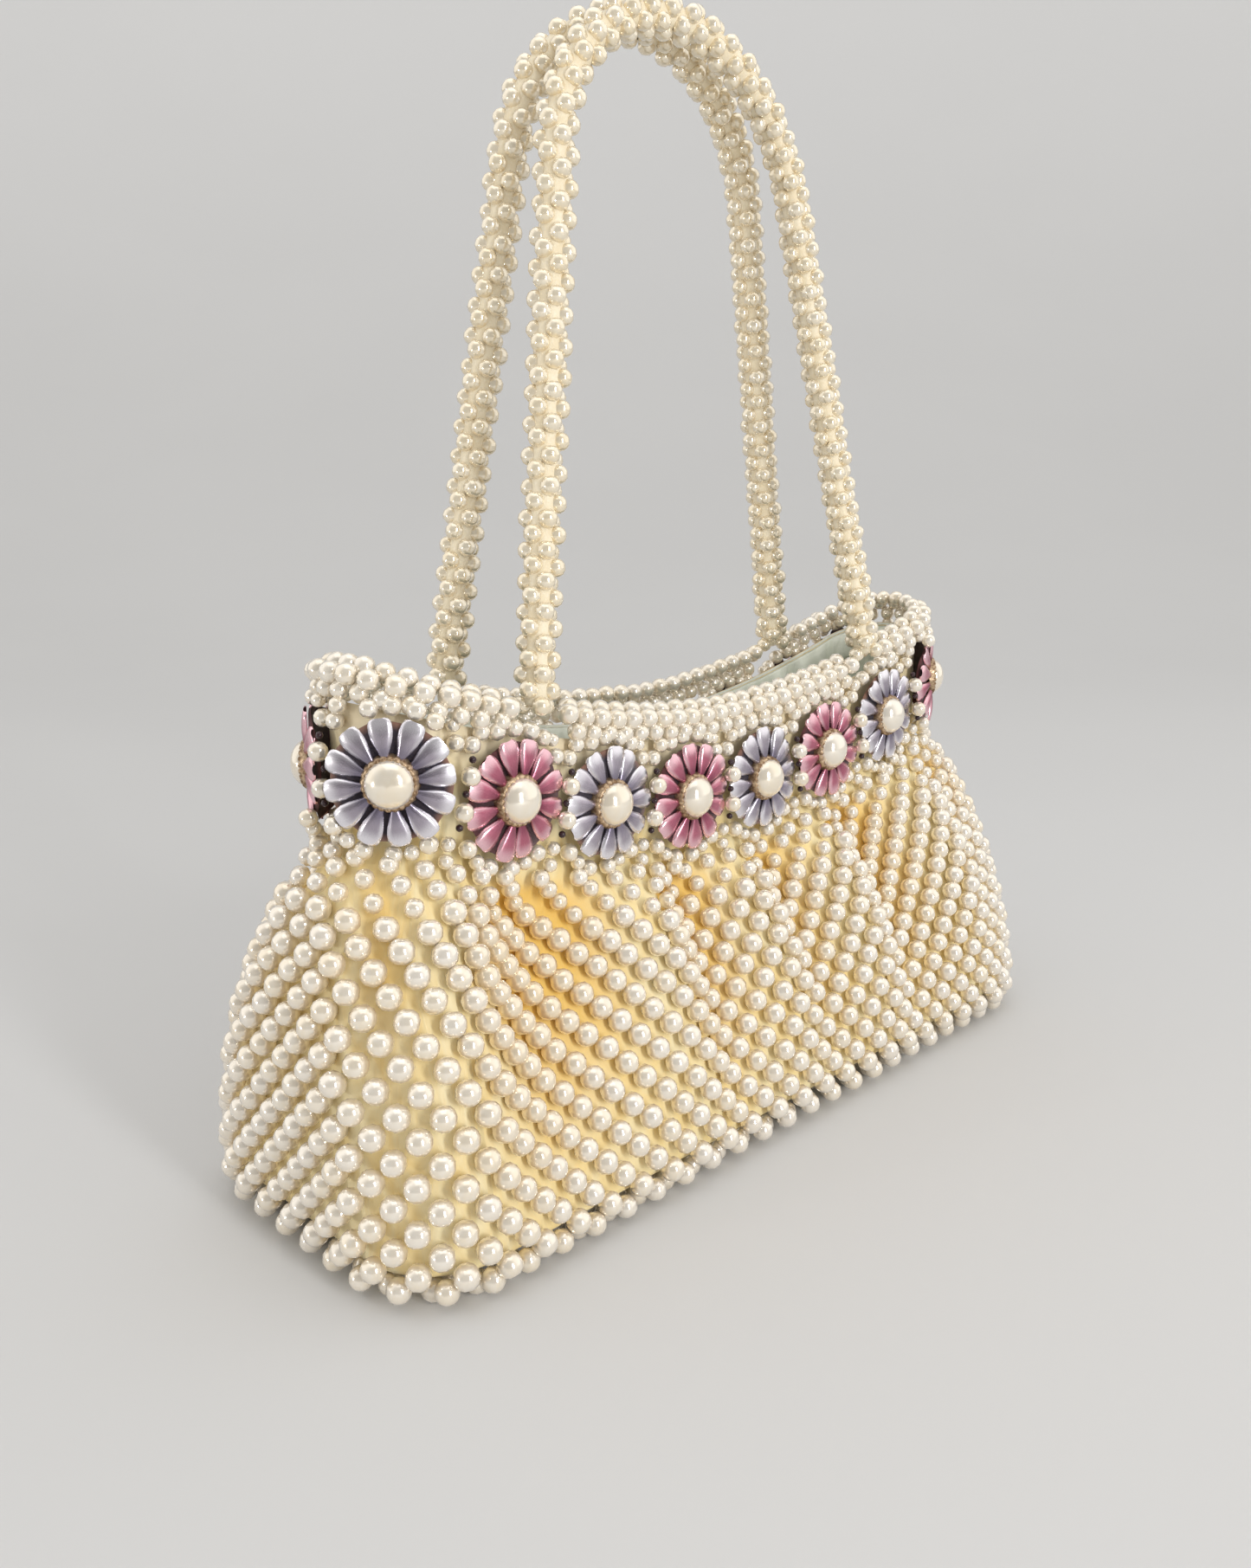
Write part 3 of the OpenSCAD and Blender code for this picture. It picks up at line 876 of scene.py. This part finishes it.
# Quincunx of beads on the flat bottom, inside the ring where the walls end.
def basePanel():
    inset = pouch["baseRoll"] + 0.0045
    halfLength = pouch["baseHalfLength"] - inset
    halfDepth = pouch["baseHalfDepth"] - inset
    corner = pouch["baseCorner"] - inset
    stepX, stepY = 0.0053, 0.0048
    spots = []
    for row in range(-12, 13):
        for column in range(-30, 31):
            if (row + column) % 2:
                continue
            x, y = column * stepX, row * stepY
            outX = max(0, abs(x) - (halfLength - corner))
            outY = max(0, abs(y) - (halfDepth - corner))
            if math.hypot(outX, outY) > corner or abs(x) > halfLength or abs(y) > halfDepth:
                continue
            axis = (1, 0, 0) if row % 2 else (0, 1, 0)
            spots.append((np.array([x, y, pouch["weave"] / 2]), pouch["baseBead"], axis, 0.2))
    return spots


beadPiece("weaveBase", basePanel(), bodyPearl, ("woven_base",))
print("pouch woven")

# Beads of the band and the rim


def daisyMiddle(n):
    return (n - 0.5) * daisyPitch


# Beads that hug one daisy above or below, from one junction to the next.
def arch(n, sign):
    s = daisyMiddle(n)
    out = 0.0008
    beads = []
    layout = ((-0.0112, 0.0133, 0.0048), (-0.0076, 0.0160, 0.0040), (-0.0035, 0.0176, 0.0048),
              (0.0035, 0.0176, 0.0048), (0.0076, 0.0160, 0.0040), (0.0112, 0.0133, 0.0048))
    if sign > 0:
        layout = ((-0.0078, 0.0158, 0.0048), (-0.0030, 0.0172, 0.0050),
                  (0.0026, 0.0172, 0.0050), (0.0072, 0.0158, 0.0046))
    for across, rise, size in layout:
        place = onBand(s, across, sign * rise, out)
        beads.append((place, size, bandFrame(s)[1], 0.1))
    return beads


# Beads on the string between two daisies, beyond the link pearls.
def junction(n, sign):
    s = n * daisyPitch
    beads = []
    layout = ((0, 0.0126, 0.0040), (0, 0.0168, 0.0040))
    if sign > 0:
        layout = ((-0.0036, 0.0115, 0.0046), (0.0014, 0.0113, 0.0046),
                  (-0.0050, 0.0154, 0.0036), (0.0034, 0.0150, 0.0044))
    for across, rise, size in layout:
        beads.append((onBand(s, across, sign * rise, 0.0006), size, bandFrame(s)[2], 0.1))
    return beads


netNodes = {
    "front": ("net_front",), "back": ("net_back",),
    "leftEnd": ("net_left_end",), "rightEnd": ("net_right_end",),
}
nets = {side: [] for side in netNodes}
for n in range(1, daisy["count"] + 1):
    middleSide = sideOf(daisyMiddle(n) / mouthRound)
    linkSide = sideOf(n * daisyPitch / mouthRound)
    for sign in (-1, 1):
        nets[middleSide] += arch(n, sign)
        nets[linkSide] += junction(n, sign)
for side, spots in nets.items():
    beadPiece("net" + side[0].upper() + side[1:], spots, bandPearl, netNodes[side])


# The stretches of the mouth between the handles' feet: start and length.
def rimRuns():
    half, clear = handle["halfSpan"], mouth["footClear"]
    short = 2 * (half - clear)
    long = mouthRound / 2 - 2 * (half + clear)
    return ((-short / 2, short), (half + clear, long),
            (mouthRound / 2 - short / 2, short), (mouthRound / 2 + half + clear, long))


def onMouth(s, rise, out):
    x, y, heading = mouthSpot(s)
    face = mouth["halfLength"] - mouth["corner"]
    out -= mouth["endDraw"] * max(0, abs(x) - face) / mouth["corner"]
    return np.array([x + out * math.cos(heading), y + out * math.sin(heading), bandZ(x) + rise])


def level(s):
    heading = mouthSpot(s)[2]
    return (-math.sin(heading), math.cos(heading), 0)


# One row of pearls along a run of the mouth; name says its height and how far out it stands.
def rimRow(spots, name, start, length, steps, size, shade=0.0):
    lift, out = mouth[name]
    for share in steps:
        s = start + share * length
        spots.append((onMouth(s, mouth["rimRise"] + lift, out), size, level(s), shade))


rim, second = [], []
for start, length in rimRuns():
    count = int(length / mouth["rimPitch"])
    onPosts, between = np.arange(count + 1) / count, (np.arange(count) + 0.5) / count
    rimRow(rim, "outerRow", start, length, onPosts, mouth["rimPearl"])
    rimRow(rim, "innerRow", start, length, between, mouth["rimPearl"] - 0.0004)
    rimRow(second, "secondRow", start, length, between, mouth["rowPearl"], 0.05)
beadPiece("rimPearls", rim, bandPearl, ("rim_pearls",))
beadPiece("secondRowPearls", second, bandPearl, ("second_row_pearls",))

links, seeds = [], []
for n in range(1, daisy["count"] + 1):
    s = n * daisyPitch
    for sign in (-1, 1):
        out = daisy["back"] + daisy["linkPearl"] / 2
        links.append((onBand(s, 0, sign * daisy["linkRise"], out), daisy["linkPearl"], bandFrame(s)[2], 0.0))
    for sign in (-1, 0, 1):
        out = daisy["back"] + daisy["seed"] / 2 + 0.0008
        place = onBand(s, 0, sign * 2 * daisy["linkRise"] * 0.92, out)
        seeds.append((place, daisy["seed"], bandFrame(s)[2], 0.0))
beadPiece("linkPearls", links, bandPearl, ("link_pearls",))
beadPiece("linkSeeds", seeds, darkSeed, ("link_seeds",), faces=2)
print("band strung")

# Daisies


def gridFaces(rows, columns, closed=False):
    faces = []
    for i in range(rows - 1):
        for j in range(columns if closed else columns - 1):
            k = (j + 1) % columns
            faces.append((i * columns + j, i * columns + k, (i + 1) * columns + k, (i + 1) * columns + j))
    return faces


# A place on a daisy, measured from its middle, with the daisy's own bend round a corner.
def daisySpot(n, across, rise, out):
    s = daisyMiddle(n)
    middle, right, up, outward = bandFrame(s)
    flat = middle + right * across + up * rise + outward * out
    return flat + (onBand(s + across, 0, rise, out) - flat) * cornerCurl.get(n, 0)


# One petal along +Y, crowned, narrow at its root and blunt at its tip.
def petalShape():
    stops = np.array([0.0, 0.10, 0.28, 0.48, 0.66, 0.82, 0.92, 0.975, 1.0])
    widths = np.array([0.36, 0.46, 0.66, 0.88, 1.0, 0.99, 0.90, 0.74, 0.44]) * daisy["petalWidth"] / 2
    sides = np.array([-1.0, -1.0, -0.6, 0.0, 0.6, 1.0, 1.0])
    length = daisy["radius"] - daisy["inner"]
    points, across, along = [], [], []
    for u, width in zip(stops, widths):
        crown = daisy["petalCrown"] * (0.75 + 0.25 * math.sin(math.pi * min(1, 0.1 + u)))
        droop = 0.0003 * max(0, u - 0.8) / 0.2
        for k, side in enumerate(sides):
            x = side * width
            rim = k in (0, 6)
            y = daisy["inner"] + u * length
            z = 0.0 if rim else daisy["petalEdge"] + (crown - daisy["petalEdge"]) * (1 - side * side) - droop
            points.append((x, y, max(z, 0.0)))
            across.append(side)
            along.append(u)
    fields = {"petalAcross": across, "petalAlong": along}
    faces = gridFaces(len(stops), len(sides))
    return meshPiece("petalShape", points, faces, fields)


def domeShape():
    rows, columns = 9, 24
    points = []
    for i in range(rows):
        angle = math.pi / 2 * i / (rows - 1)
        radius, height = math.cos(angle), math.sin(angle)
        for j in range(columns):
            turn = 2 * math.pi * j / columns
            points.append((radius * math.cos(turn) * daisy["centreRadius"],
                           radius * math.sin(turn) * daisy["centreRadius"], height * daisy["centreHeight"]))
    unit = [Vector(p).normalized() for p in points]
    local = [(v.x, v.z * 0.6, v.y * 0.6) for v in unit]
    return meshPiece("domeShape", points, gridFaces(rows, columns, True), {"beadLocal": local})


# One disc of felt behind every daisy, bent round the band where the mouth turns.
def feltDiscs():
    columns = 36
    rings = ((0.02, 0.0007), (0.35, 0.0007), (0.7, 0.0008), (0.94, 0.0007), (0.96, 0.0001))
    points, faces, radius, tones = [], [], [], []
    for n in range(1, daisy["count"] + 1):
        first = len(points)
        for share, height in rings:
            for j in range(columns):
                turn = 2 * math.pi * j / columns
                r = share * daisy["feltRadius"] * (1 + 0.015 * math.sin(7 * turn + n) * (share > 0.9))
                points.append(daisySpot(n, r * math.cos(turn), r * math.sin(turn), daisy["back"] + height))
                radius.append(share)
                tones.append(1 - n % 2)
        faces += [tuple(first + v for v in face) for face in gridFaces(len(rings), columns, True)]
    piece = meshPiece("feltDiscs", points, faces, {"feltRadius": radius, "feltTone": tones})
    piece.data.materials.append(felt)
    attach(piece, "bag")
    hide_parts("daisy_felts")


# Dish under the half pearl with a scalloped lip.
def settingShape():
    columns = 72
    rings = ((1.16, 0.0000), (1.12, 0.0012), (1.06, 0.0020), (0.97, 0.0023), (0.90, 0.0020))
    points = []
    for k, (share, height) in enumerate(rings):
        for j in range(columns):
            turn = 2 * math.pi * j / columns
            lobe = abs(math.sin(turn * 12))
            r = share * daisy["centreRadius"] * (1 + (0.035 * lobe if k < 3 else 0.012 * lobe))
            lift = 0.0004 * lobe if 0 < k < 4 else 0
            points.append((r * math.cos(turn), r * math.sin(turn), height + lift))
    return meshPiece("settingShape", points, gridFaces(len(rings), columns, True))


# spots is a list of (place, right, up, outward, scale).
def copyPiece(name, spots, shape, finish, nodes, fields=None):
    turns, scales, places = [], [], []
    for place, right, up, outward, scale in spots:
        turn = Matrix((right, up, outward)).transposed().to_euler("XYZ")
        turns.append(tuple(turn))
        scales.append(scale)
        places.append(place)
    values = {"copyTurn": turns, "copyScale": scales}
    values.update(fields or {})
    piece = meshPiece(name, places, [], values)
    grown(piece, copyTree, {"Shape": shape, "Finish": finish})
    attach(piece, "bag")
    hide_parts(*nodes)
    return piece


daisyTurn = {12: -0.03, 13: -0.17, 14: -0.09, 15: 0.07, 16: 0.16}
shapes = [petalShape(), domeShape(), settingShape()]
petal, dome, dish = shapes
petalSpots = {0: [], 1: []}
petalTones = {0: [], 1: []}
dishes, domes = [], []
for n in range(1, daisy["count"] + 1):
    s = daisyMiddle(n)
    kind = n % 2
    turn0 = daisyTurn.get(n, random.normal(0, 0.08))
    middle, right, up, outward = bandFrame(s)
    base = middle + outward * daisy["back"]
    one = (1.0, 1.0, 1.0)
    dishes.append((base + outward * daisy["felt"], right, up, outward, one))
    domes.append((base + outward * (daisy["felt"] + daisy["setting"]), right, up, outward, one))
    for k in range(daisy["petals"]):
        angle = turn0 + 2 * math.pi * k / daisy["petals"] + random.normal(0, 0.018)
        reach = (daisy["inner"] + daisy["radius"]) / 2
        across, rise = -reach * math.sin(angle), reach * math.cos(angle)
        right, up, outward = bandFrame(s + cornerCurl.get(n, 0) * across)[1:]
        side = right * math.cos(angle) + up * math.sin(angle)
        ahead = -right * math.sin(angle) + up * math.cos(angle)
        tilt = 0.05 + random.normal(0, 0.03)
        ahead2 = ahead * math.cos(tilt) - outward * math.sin(tilt)
        outward2 = outward * math.cos(tilt) + ahead * math.sin(tilt)
        out = daisy["back"] + daisy["felt"] + 0.0007
        place = daisySpot(n, across, rise, out) - ahead * reach
        size = 1 + random.normal(0, 0.015)
        scale = (size * (1 + random.normal(0, 0.015)), size, 1.0)
        petalSpots[kind].append((place, side, ahead2, outward2, scale))
        petalTones[kind].append(random.random())
copyPiece("lilacPetals", petalSpots[1], petal, petalLilac, ("lilac_petals",),
          {"petalTone": petalTones[1]})
copyPiece("pinkPetals", petalSpots[0], petal, petalPink, ("pink_petals",),
          {"petalTone": petalTones[0]})
feltDiscs()
copyPiece("settings", dishes, dish, gilt, ("daisy_settings",))
copyPiece("halfPearls", domes, dome, bandPearl, ("daisy_centres",),
          {"beadTone": random.random(len(domes)), "beadDepth": np.zeros(len(domes))})
for shape in shapes:
    mesh = shape.data
    bpy.data.objects.remove(shape)
    bpy.data.meshes.remove(mesh)
print("daisies set")

# Handles


# Centre line of a handle in its own upright plane, from foot to foot.
def handleLine():
    half, radius = handle["halfSpan"], handle["archRadius"]
    rise = handle["height"] - radius
    slope = math.acos(radius / math.hypot(half, rise)) - math.atan2(rise, half)
    points = []
    topX, topZ = radius * math.cos(slope), rise + radius * math.sin(slope)
    for k in range(120):
        share = k / 120
        points.append((-half + (half - topX) * share, topZ * share))
    for k in range(241):
        angle = math.pi - slope - (math.pi - 2 * slope) * k / 240
        points.append((radius * math.cos(angle), rise + radius * math.sin(angle)))
    for k in range(1, 121):
        share = 1 - k / 120
        points.append((half + (topX - half) * share, topZ * share))
    return np.array(points)


# Handle line in the object's frame.
def handleAt(joint, sign, lean):
    flat = handleLine()
    hinge = joint["pos_m"]
    x = flat[:, 0]
    z = hinge[2] + flat[:, 1] * math.cos(lean)
    y = sign * mouth["halfDepth"] - sign * flat[:, 1] * math.sin(lean)
    return np.stack([x, y, z], 1)


# Rows of three beads round the line, every other row turned by half a step.
def ropeBeads(line, seed):
    steps = np.linalg.norm(np.diff(line, axis=0), axis=1)
    along = np.concatenate([[0], np.cumsum(steps)])
    whole = along[-1]
    count = int(round(whole / handle["rowPitch"]))
    normal = np.cross(line[len(line) // 2] - line[0], line[-1] - line[0])
    normal /= np.linalg.norm(normal)
    beads = []
    for row in range(count + 1):
        at = whole * row / count
        place = np.array([np.interp(at, along, line[:, k]) for k in range(3)])
        ahead = np.array([np.interp(min(whole, at + 0.002), along, line[:, k]) for k in range(3)])
        behind = np.array([np.interp(max(0, at - 0.002), along, line[:, k]) for k in range(3)])
        tangent = (ahead - behind) / np.linalg.norm(ahead - behind)
        side = np.cross(tangent, normal)
        for k in range(3):
            angle = 2 * math.pi * k / 3 + (math.pi / 3) * (row % 2) + handle["twist"] * row + seed
            way = normal * math.cos(angle) + side * math.sin(angle)
            ring = normal * -math.sin(angle) + side * math.cos(angle)
            axis = tangent if row % 2 else ring
            beads.append((place + way * handle["ringRadius"], handle["bead"], axis, 0.1))
    return beads


# The cord of nylon and padding that the beads are strung round.
def ropeCore(name, line, body):
    sides, rings = 12, line[::5]
    normal = np.cross(line[len(line) // 2] - line[0], line[-1] - line[0])
    normal /= np.linalg.norm(normal)
    tangents = np.gradient(rings, axis=0)
    tangents /= np.linalg.norm(tangents, axis=1)[:, None]
    points, along = [], []
    for k, (place, tangent) in enumerate(zip(rings, tangents)):
        across = np.cross(tangent, normal)
        for j in range(sides):
            angle = 2 * math.pi * j / sides
            way = normal * math.cos(angle) + across * math.sin(angle)
            points.append(place + way * handle["coreRadius"])
            along.append((k * 0.005, j / sides, 0))
    faces = [tuple(reversed(face)) for face in gridFaces(len(rings), sides, True)]
    faces += [tuple(range(sides)), tuple(reversed(range(len(points) - sides, len(points))))]
    piece = meshPiece(name, points, faces, {"coreLocal": along})
    piece.data.materials.append(coreCord)
    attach(piece, body)


meetHalf = handle["ropeRadius"] + gap
frontLean = math.asin((mouth["halfDepth"] + handle["meetBack"] - meetHalf) / handle["height"])
rearLean = math.asin((mouth["halfDepth"] - handle["meetBack"] - meetHalf) / handle["height"])
frontLine = handleAt(joints["front_handle_hinge"], -1, frontLean)
rearLine = handleAt(joints["rear_handle_hinge"], 1, rearLean)
for side, line, seed in (("front", frontLine, handle["frontPhase"]), ("rear", rearLine, handle["rearPhase"])):
    nodes = tuple(f"{side}_handle_{part}" for part in ("arch", "left_leg", "right_leg"))
    beads = ropeBeads(line, seed)
    beadPiece(side + "HandleRope", beads, handlePearl, nodes, side + "_handle")
    ropeCore(side + "HandleCore", line, side + "_handle")
print("handles strung")

# Satin lining


# Closed thin cloth between two stacks of rings, one finish outside and one inside.
def clothMesh(name, outerRings, innerRings, finishes, foldShades=None, pales=None):
    rows, columns = len(outerRings), len(outerRings[0])
    points = np.concatenate(outerRings + innerRings)
    heights = np.repeat(np.concatenate([np.arange(rows), np.arange(rows)]) * 0.004, columns)
    run = np.tile(np.arange(columns) / columns * 0.62, 2 * rows)
    outside = gridFaces(rows, columns, True)
    shift = rows * columns
    inside = [tuple(reversed([v + shift for v in face])) for face in outside]
    top, low = (rows - 1) * columns, 0
    lips = []
    for j in range(columns):
        k = (j + 1) % columns
        lips.append((top + j, top + k, shift + top + k, shift + top + j))
        lips.append((low + k, low + j, shift + low + j, shift + low + k))
    if foldShades is None:
        foldShades = np.zeros(len(points))
    if pales is None:
        pales = np.zeros(len(points))
    fields = {"clothAlong": run, "clothUp": heights, "clothFold": foldShades, "clothPale": pales}
    piece = meshPiece(name, points, outside + inside + lips, fields)
    for finish in finishes:
        piece.data.materials.append(finish)
    marks = np.zeros(len(piece.data.polygons), dtype=np.int32)
    marks[len(outside):len(outside) + len(inside)] = 1
    piece.data.polygons.foreach_set("material_index", marks)
    return piece


# Small uneven folds pressed into a ring, level with its plane.
def wrinkle(ring, amount, phase):
    ahead, behind = np.roll(ring, -1, 0), np.roll(ring, 1, 0)
    along = (ahead - behind)[:, :2]
    along /= np.maximum(np.linalg.norm(along, axis=1), 1e-9)[:, None]
    turn = np.arange(len(ring)) / len(ring) * 2 * math.pi
    wave = (np.sin(23 * turn + phase) + 0.7 * np.sin(37 * turn - 1.7 * phase)
            + 0.5 * np.sin(61 * turn + 2.3 * phase) + 0.4 * np.sin(11 * turn + phase * 0.6))
    out = ring.copy()
    out[:, 0] -= along[:, 1] * wave * amount * 0.4
    out[:, 1] += along[:, 0] * wave * amount * 0.4
    return out


def satinStack(inset, netInset):
    rings = [rollRing(inset, turn) for turn in (0, 30, 60)]
    for t in np.linspace(0, 0.98, 28):
        wall = pushedIn(wallRing(inset, t), t)
        rings.append(wrinkle(wall, satin["wrinkle"] * (0.3 + 0.9 * t) * 0.35, 5 * t))
    for rise in (-0.0150, -0.0120, -0.008, -0.003, 0.002, 0.007, 0.011, 0.0162):
        share = (rise + 0.0150) / 0.03
        ring = mouthRing(netInset + (0.0012 if rise < -0.0115 else 0), rise)
        rings.append(wrinkle(ring, satin["wrinkle"] * 0.35 * (1 - share), 5 + 3 * share))
    return [ring[::2] for ring in rings]


# How far into a pleat each point of one satin stack lies, from 0 to 1, which sets the painted shade in the
# folds.
def foldDepths():
    profile = np.clip(pleatProfile(placeRound)[::2] / 0.007, 0, 1)
    strengths = [0] * 3 + [pleatStrength(t) / pouch["pleatDepth"] for t in np.linspace(0, 0.98, 28)] + [0] * 8
    return np.concatenate([profile * strength for strength in strengths])


netPales = [0, 0, 0, 0, 0.1, 0.5, 0.9, 1.0]
wallPales = np.repeat([0.0] * 31 + netPales, ringSteps // 2)
liningWall = clothMesh(
    "liningWall", satinStack(satin["inset"], satin["netInset"]),
    satinStack(satin["inset"] + satin["thickness"], satin["netInset"] + satin["thickness"]),
    (satinOuter, satinInner), np.tile(foldDepths(), 2), np.tile(wallPales, 2))
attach(liningWall, "bag")
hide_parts("lining_wall")


# Flat satin sheet on the woven bottom, with a slight cushion between its edges.
def liningFloor():
    outer = baseOutline(pouch["baseRoll"] + 0.0006)[::4]
    rings, innerRings = [], []
    top = pouch["weave"] + gap
    for share in (1.0, 0.985, 0.9, 0.75, 0.55, 0.3, 0.04):
        flat = outer * share
        swell = 0.0003 * math.sin(math.pi * share)
        rings.append(withHeight(flat, top + 0.0002 + swell))
        innerRings.append(withHeight(flat, top + 0.0002 + satin["thickness"] + swell))
    piece = clothMesh("liningFloor", rings, innerRings, (satinOuter, satinInner))
    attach(piece, "bag")
    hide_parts("lining_base")
    return piece


# Folded edge of the satin.
def liningHem():
    netIn = satin["netInset"] + satin["thickness"] + 0.0004
    rises = (0.0150, 0.0157, 0.0150, 0.0120, 0.0090, 0.0068, 0.0060)
    bulges = (0.0000, 0.0003, 0.0008, 0.0010, 0.0009, 0.0006, 0.0001)
    rings, innerRings = [], []
    for k, (rise, bulge) in enumerate(zip(rises, bulges)):
        rings.append(wrinkle(mouthRing(netIn + bulge * 0.5, rise), 0.0002, 2 + k * 0.2)[::2])
        innerRings.append(wrinkle(mouthRing(netIn + bulge + 0.0005, rise), 0.0002, 2 + k * 0.2)[::2])
    rings.reverse()
    innerRings.reverse()
    piece = clothMesh("liningHem", rings, innerRings, (satinOuter, satinInner))
    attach(piece, "bag")
    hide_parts("lining_hem")
    return piece


def clothArea(piece):
    return sum(face.area for face in piece.data.polygons) / 2


floorSheet = liningFloor()
hemSheet = liningHem()
# the wall is one strip as long as the base is round, drawn in at the mouth
print("lining sewn", *[round(clothArea(cloth), 5) for cloth in (liningWall, floorSheet, hemSheet)])

# Floor, backdrop and light


# Matt paper, a little paler where it stands up, so that it looks even from end to end.
def stageMaterial():
    made, nodes, tree, shader = material("studioPaper")
    place = objectPlace(tree)
    cloud = noise(tree, place, 2.2, 2)
    grain = noise(tree, place, 900, 2)
    height = nodes.new("ShaderNodeSeparateXYZ")
    tree.links.new(place, height.inputs[0])
    colour = mixColour(tree, remap(tree, height.outputs[2], 0.0, 1.6, 0, 1), paper["floor"], paper["wall"])
    colour = mixColour(tree, remap(tree, cloud, 0.3, 0.7, 0, 0.04), colour, (1, 1, 1))
    tree.links.new(colour, shader.inputs["Base Color"])
    shader.inputs["Roughness"].default_value = 0.85
    shader.inputs["Specular IOR Level"].default_value = 0.1
    tree.links.new(bump(tree, grain, 0.05, 0.0003), shader.inputs["Normal"])
    return made


paper = {
    "floor": (0.70, 0.70, 0.70),
    "wall": (0.83, 0.832, 0.835),
    "flat": 0.9,
    "curve": 2.4,
    "top": 4.2,
    "width": 7.0,
}


# One sheet of paper that runs under the object and curves up behind it.
def makeStage():
    away = Vector((0.70, 0.71, 0)).normalized()
    across = Vector((-away.y, away.x, 0))
    flat, curve = paper["flat"], paper["curve"]
    profile = [(-2.0, 0.0)] + [(-1.0 + k * (flat + 1.0) / 12, 0.0) for k in range(13)]
    for k in range(1, 25):
        angle = math.pi / 2 * k / 24
        profile.append((flat + curve * math.sin(angle), curve - curve * math.cos(angle)))
    profile.append((flat + curve, paper["top"]))
    points = []
    for distance, height in profile:
        for k in range(9):
            side = (k / 8 - 0.5) * paper["width"]
            points.append(tuple(away * distance + across * side + Vector((0, 0, height - 0.0002))))
    sheet = meshPiece("studioPaper", points, gridFaces(len(profile), 9))
    sheet.data.materials.append(stageMaterial())


def areaLight(name, place, aim, size, power, colour=(1, 1, 1)):
    data = bpy.data.lights.new(name, "AREA")
    data.shape = "RECTANGLE"
    data.size, data.size_y = size
    data.energy = power
    data.color = colour
    lamp = bpy.data.objects.new(name, data)
    lamp.location = place
    lamp.rotation_euler = (Vector(aim) - Vector(place)).to_track_quat("-Z", "Y").to_euler()
    scene.collection.objects.link(lamp)


studio = {
    "lightColour": (0.98, 0.965, 0.94),
    "fill": 0.78,
    "wallsBright": 1.2,
    "roomDark": 0.38,
    "darkSide": (-0.68, -0.69, 0.10),
    "window": 8,
    "lamp": 2,
    "overhead": 2,
}


# Even light on matt surfaces; what shines mirrors bright walls and a dimmer room in front.
def makeWorld():
    world = bpy.data.worlds.new("studio")
    scene.world = world
    world.use_nodes = True
    tree = world.node_tree
    shade = tree.nodes["Background"]
    towards = tree.nodes.new("ShaderNodeVectorMath")
    towards.operation = "DOT_PRODUCT"
    towards.inputs[1].default_value = studio["darkSide"]
    tree.links.new(tree.nodes.new("ShaderNodeTexCoord").outputs["Generated"], towards.inputs[0])
    mirrored = remap(tree, towards.outputs["Value"], 0.1, 0.8, studio["wallsBright"], studio["roomDark"])
    glossy = tree.nodes.new("ShaderNodeLightPath").outputs["Is Glossy Ray"]
    strength = tree.nodes.new("ShaderNodeMix")
    tree.links.new(glossy, strength.inputs[0])
    strength.inputs[2].default_value = studio["fill"]
    tree.links.new(mirrored, strength.inputs[3])
    tree.links.new(strength.outputs[0], shade.inputs["Strength"])
    shade.inputs["Color"].default_value = (*studio["lightColour"], 1)


def makeLight():
    makeWorld()
    middle = (0, 0, 0.1)
    areaLight("window", (-0.15, -1.35, 0.45), middle, (0.17, 0.75), studio["window"])
    areaLight("lamp", (-1.3, 0.25, 0.10), middle, (0.10, 0.10), studio["lamp"], (1, 0.97, 0.93))
    areaLight("overhead", (-0.1, -0.2, 1.5), middle, (1.2, 1.2), studio["overhead"])


makeStage()
makeLight()
print("stage set")
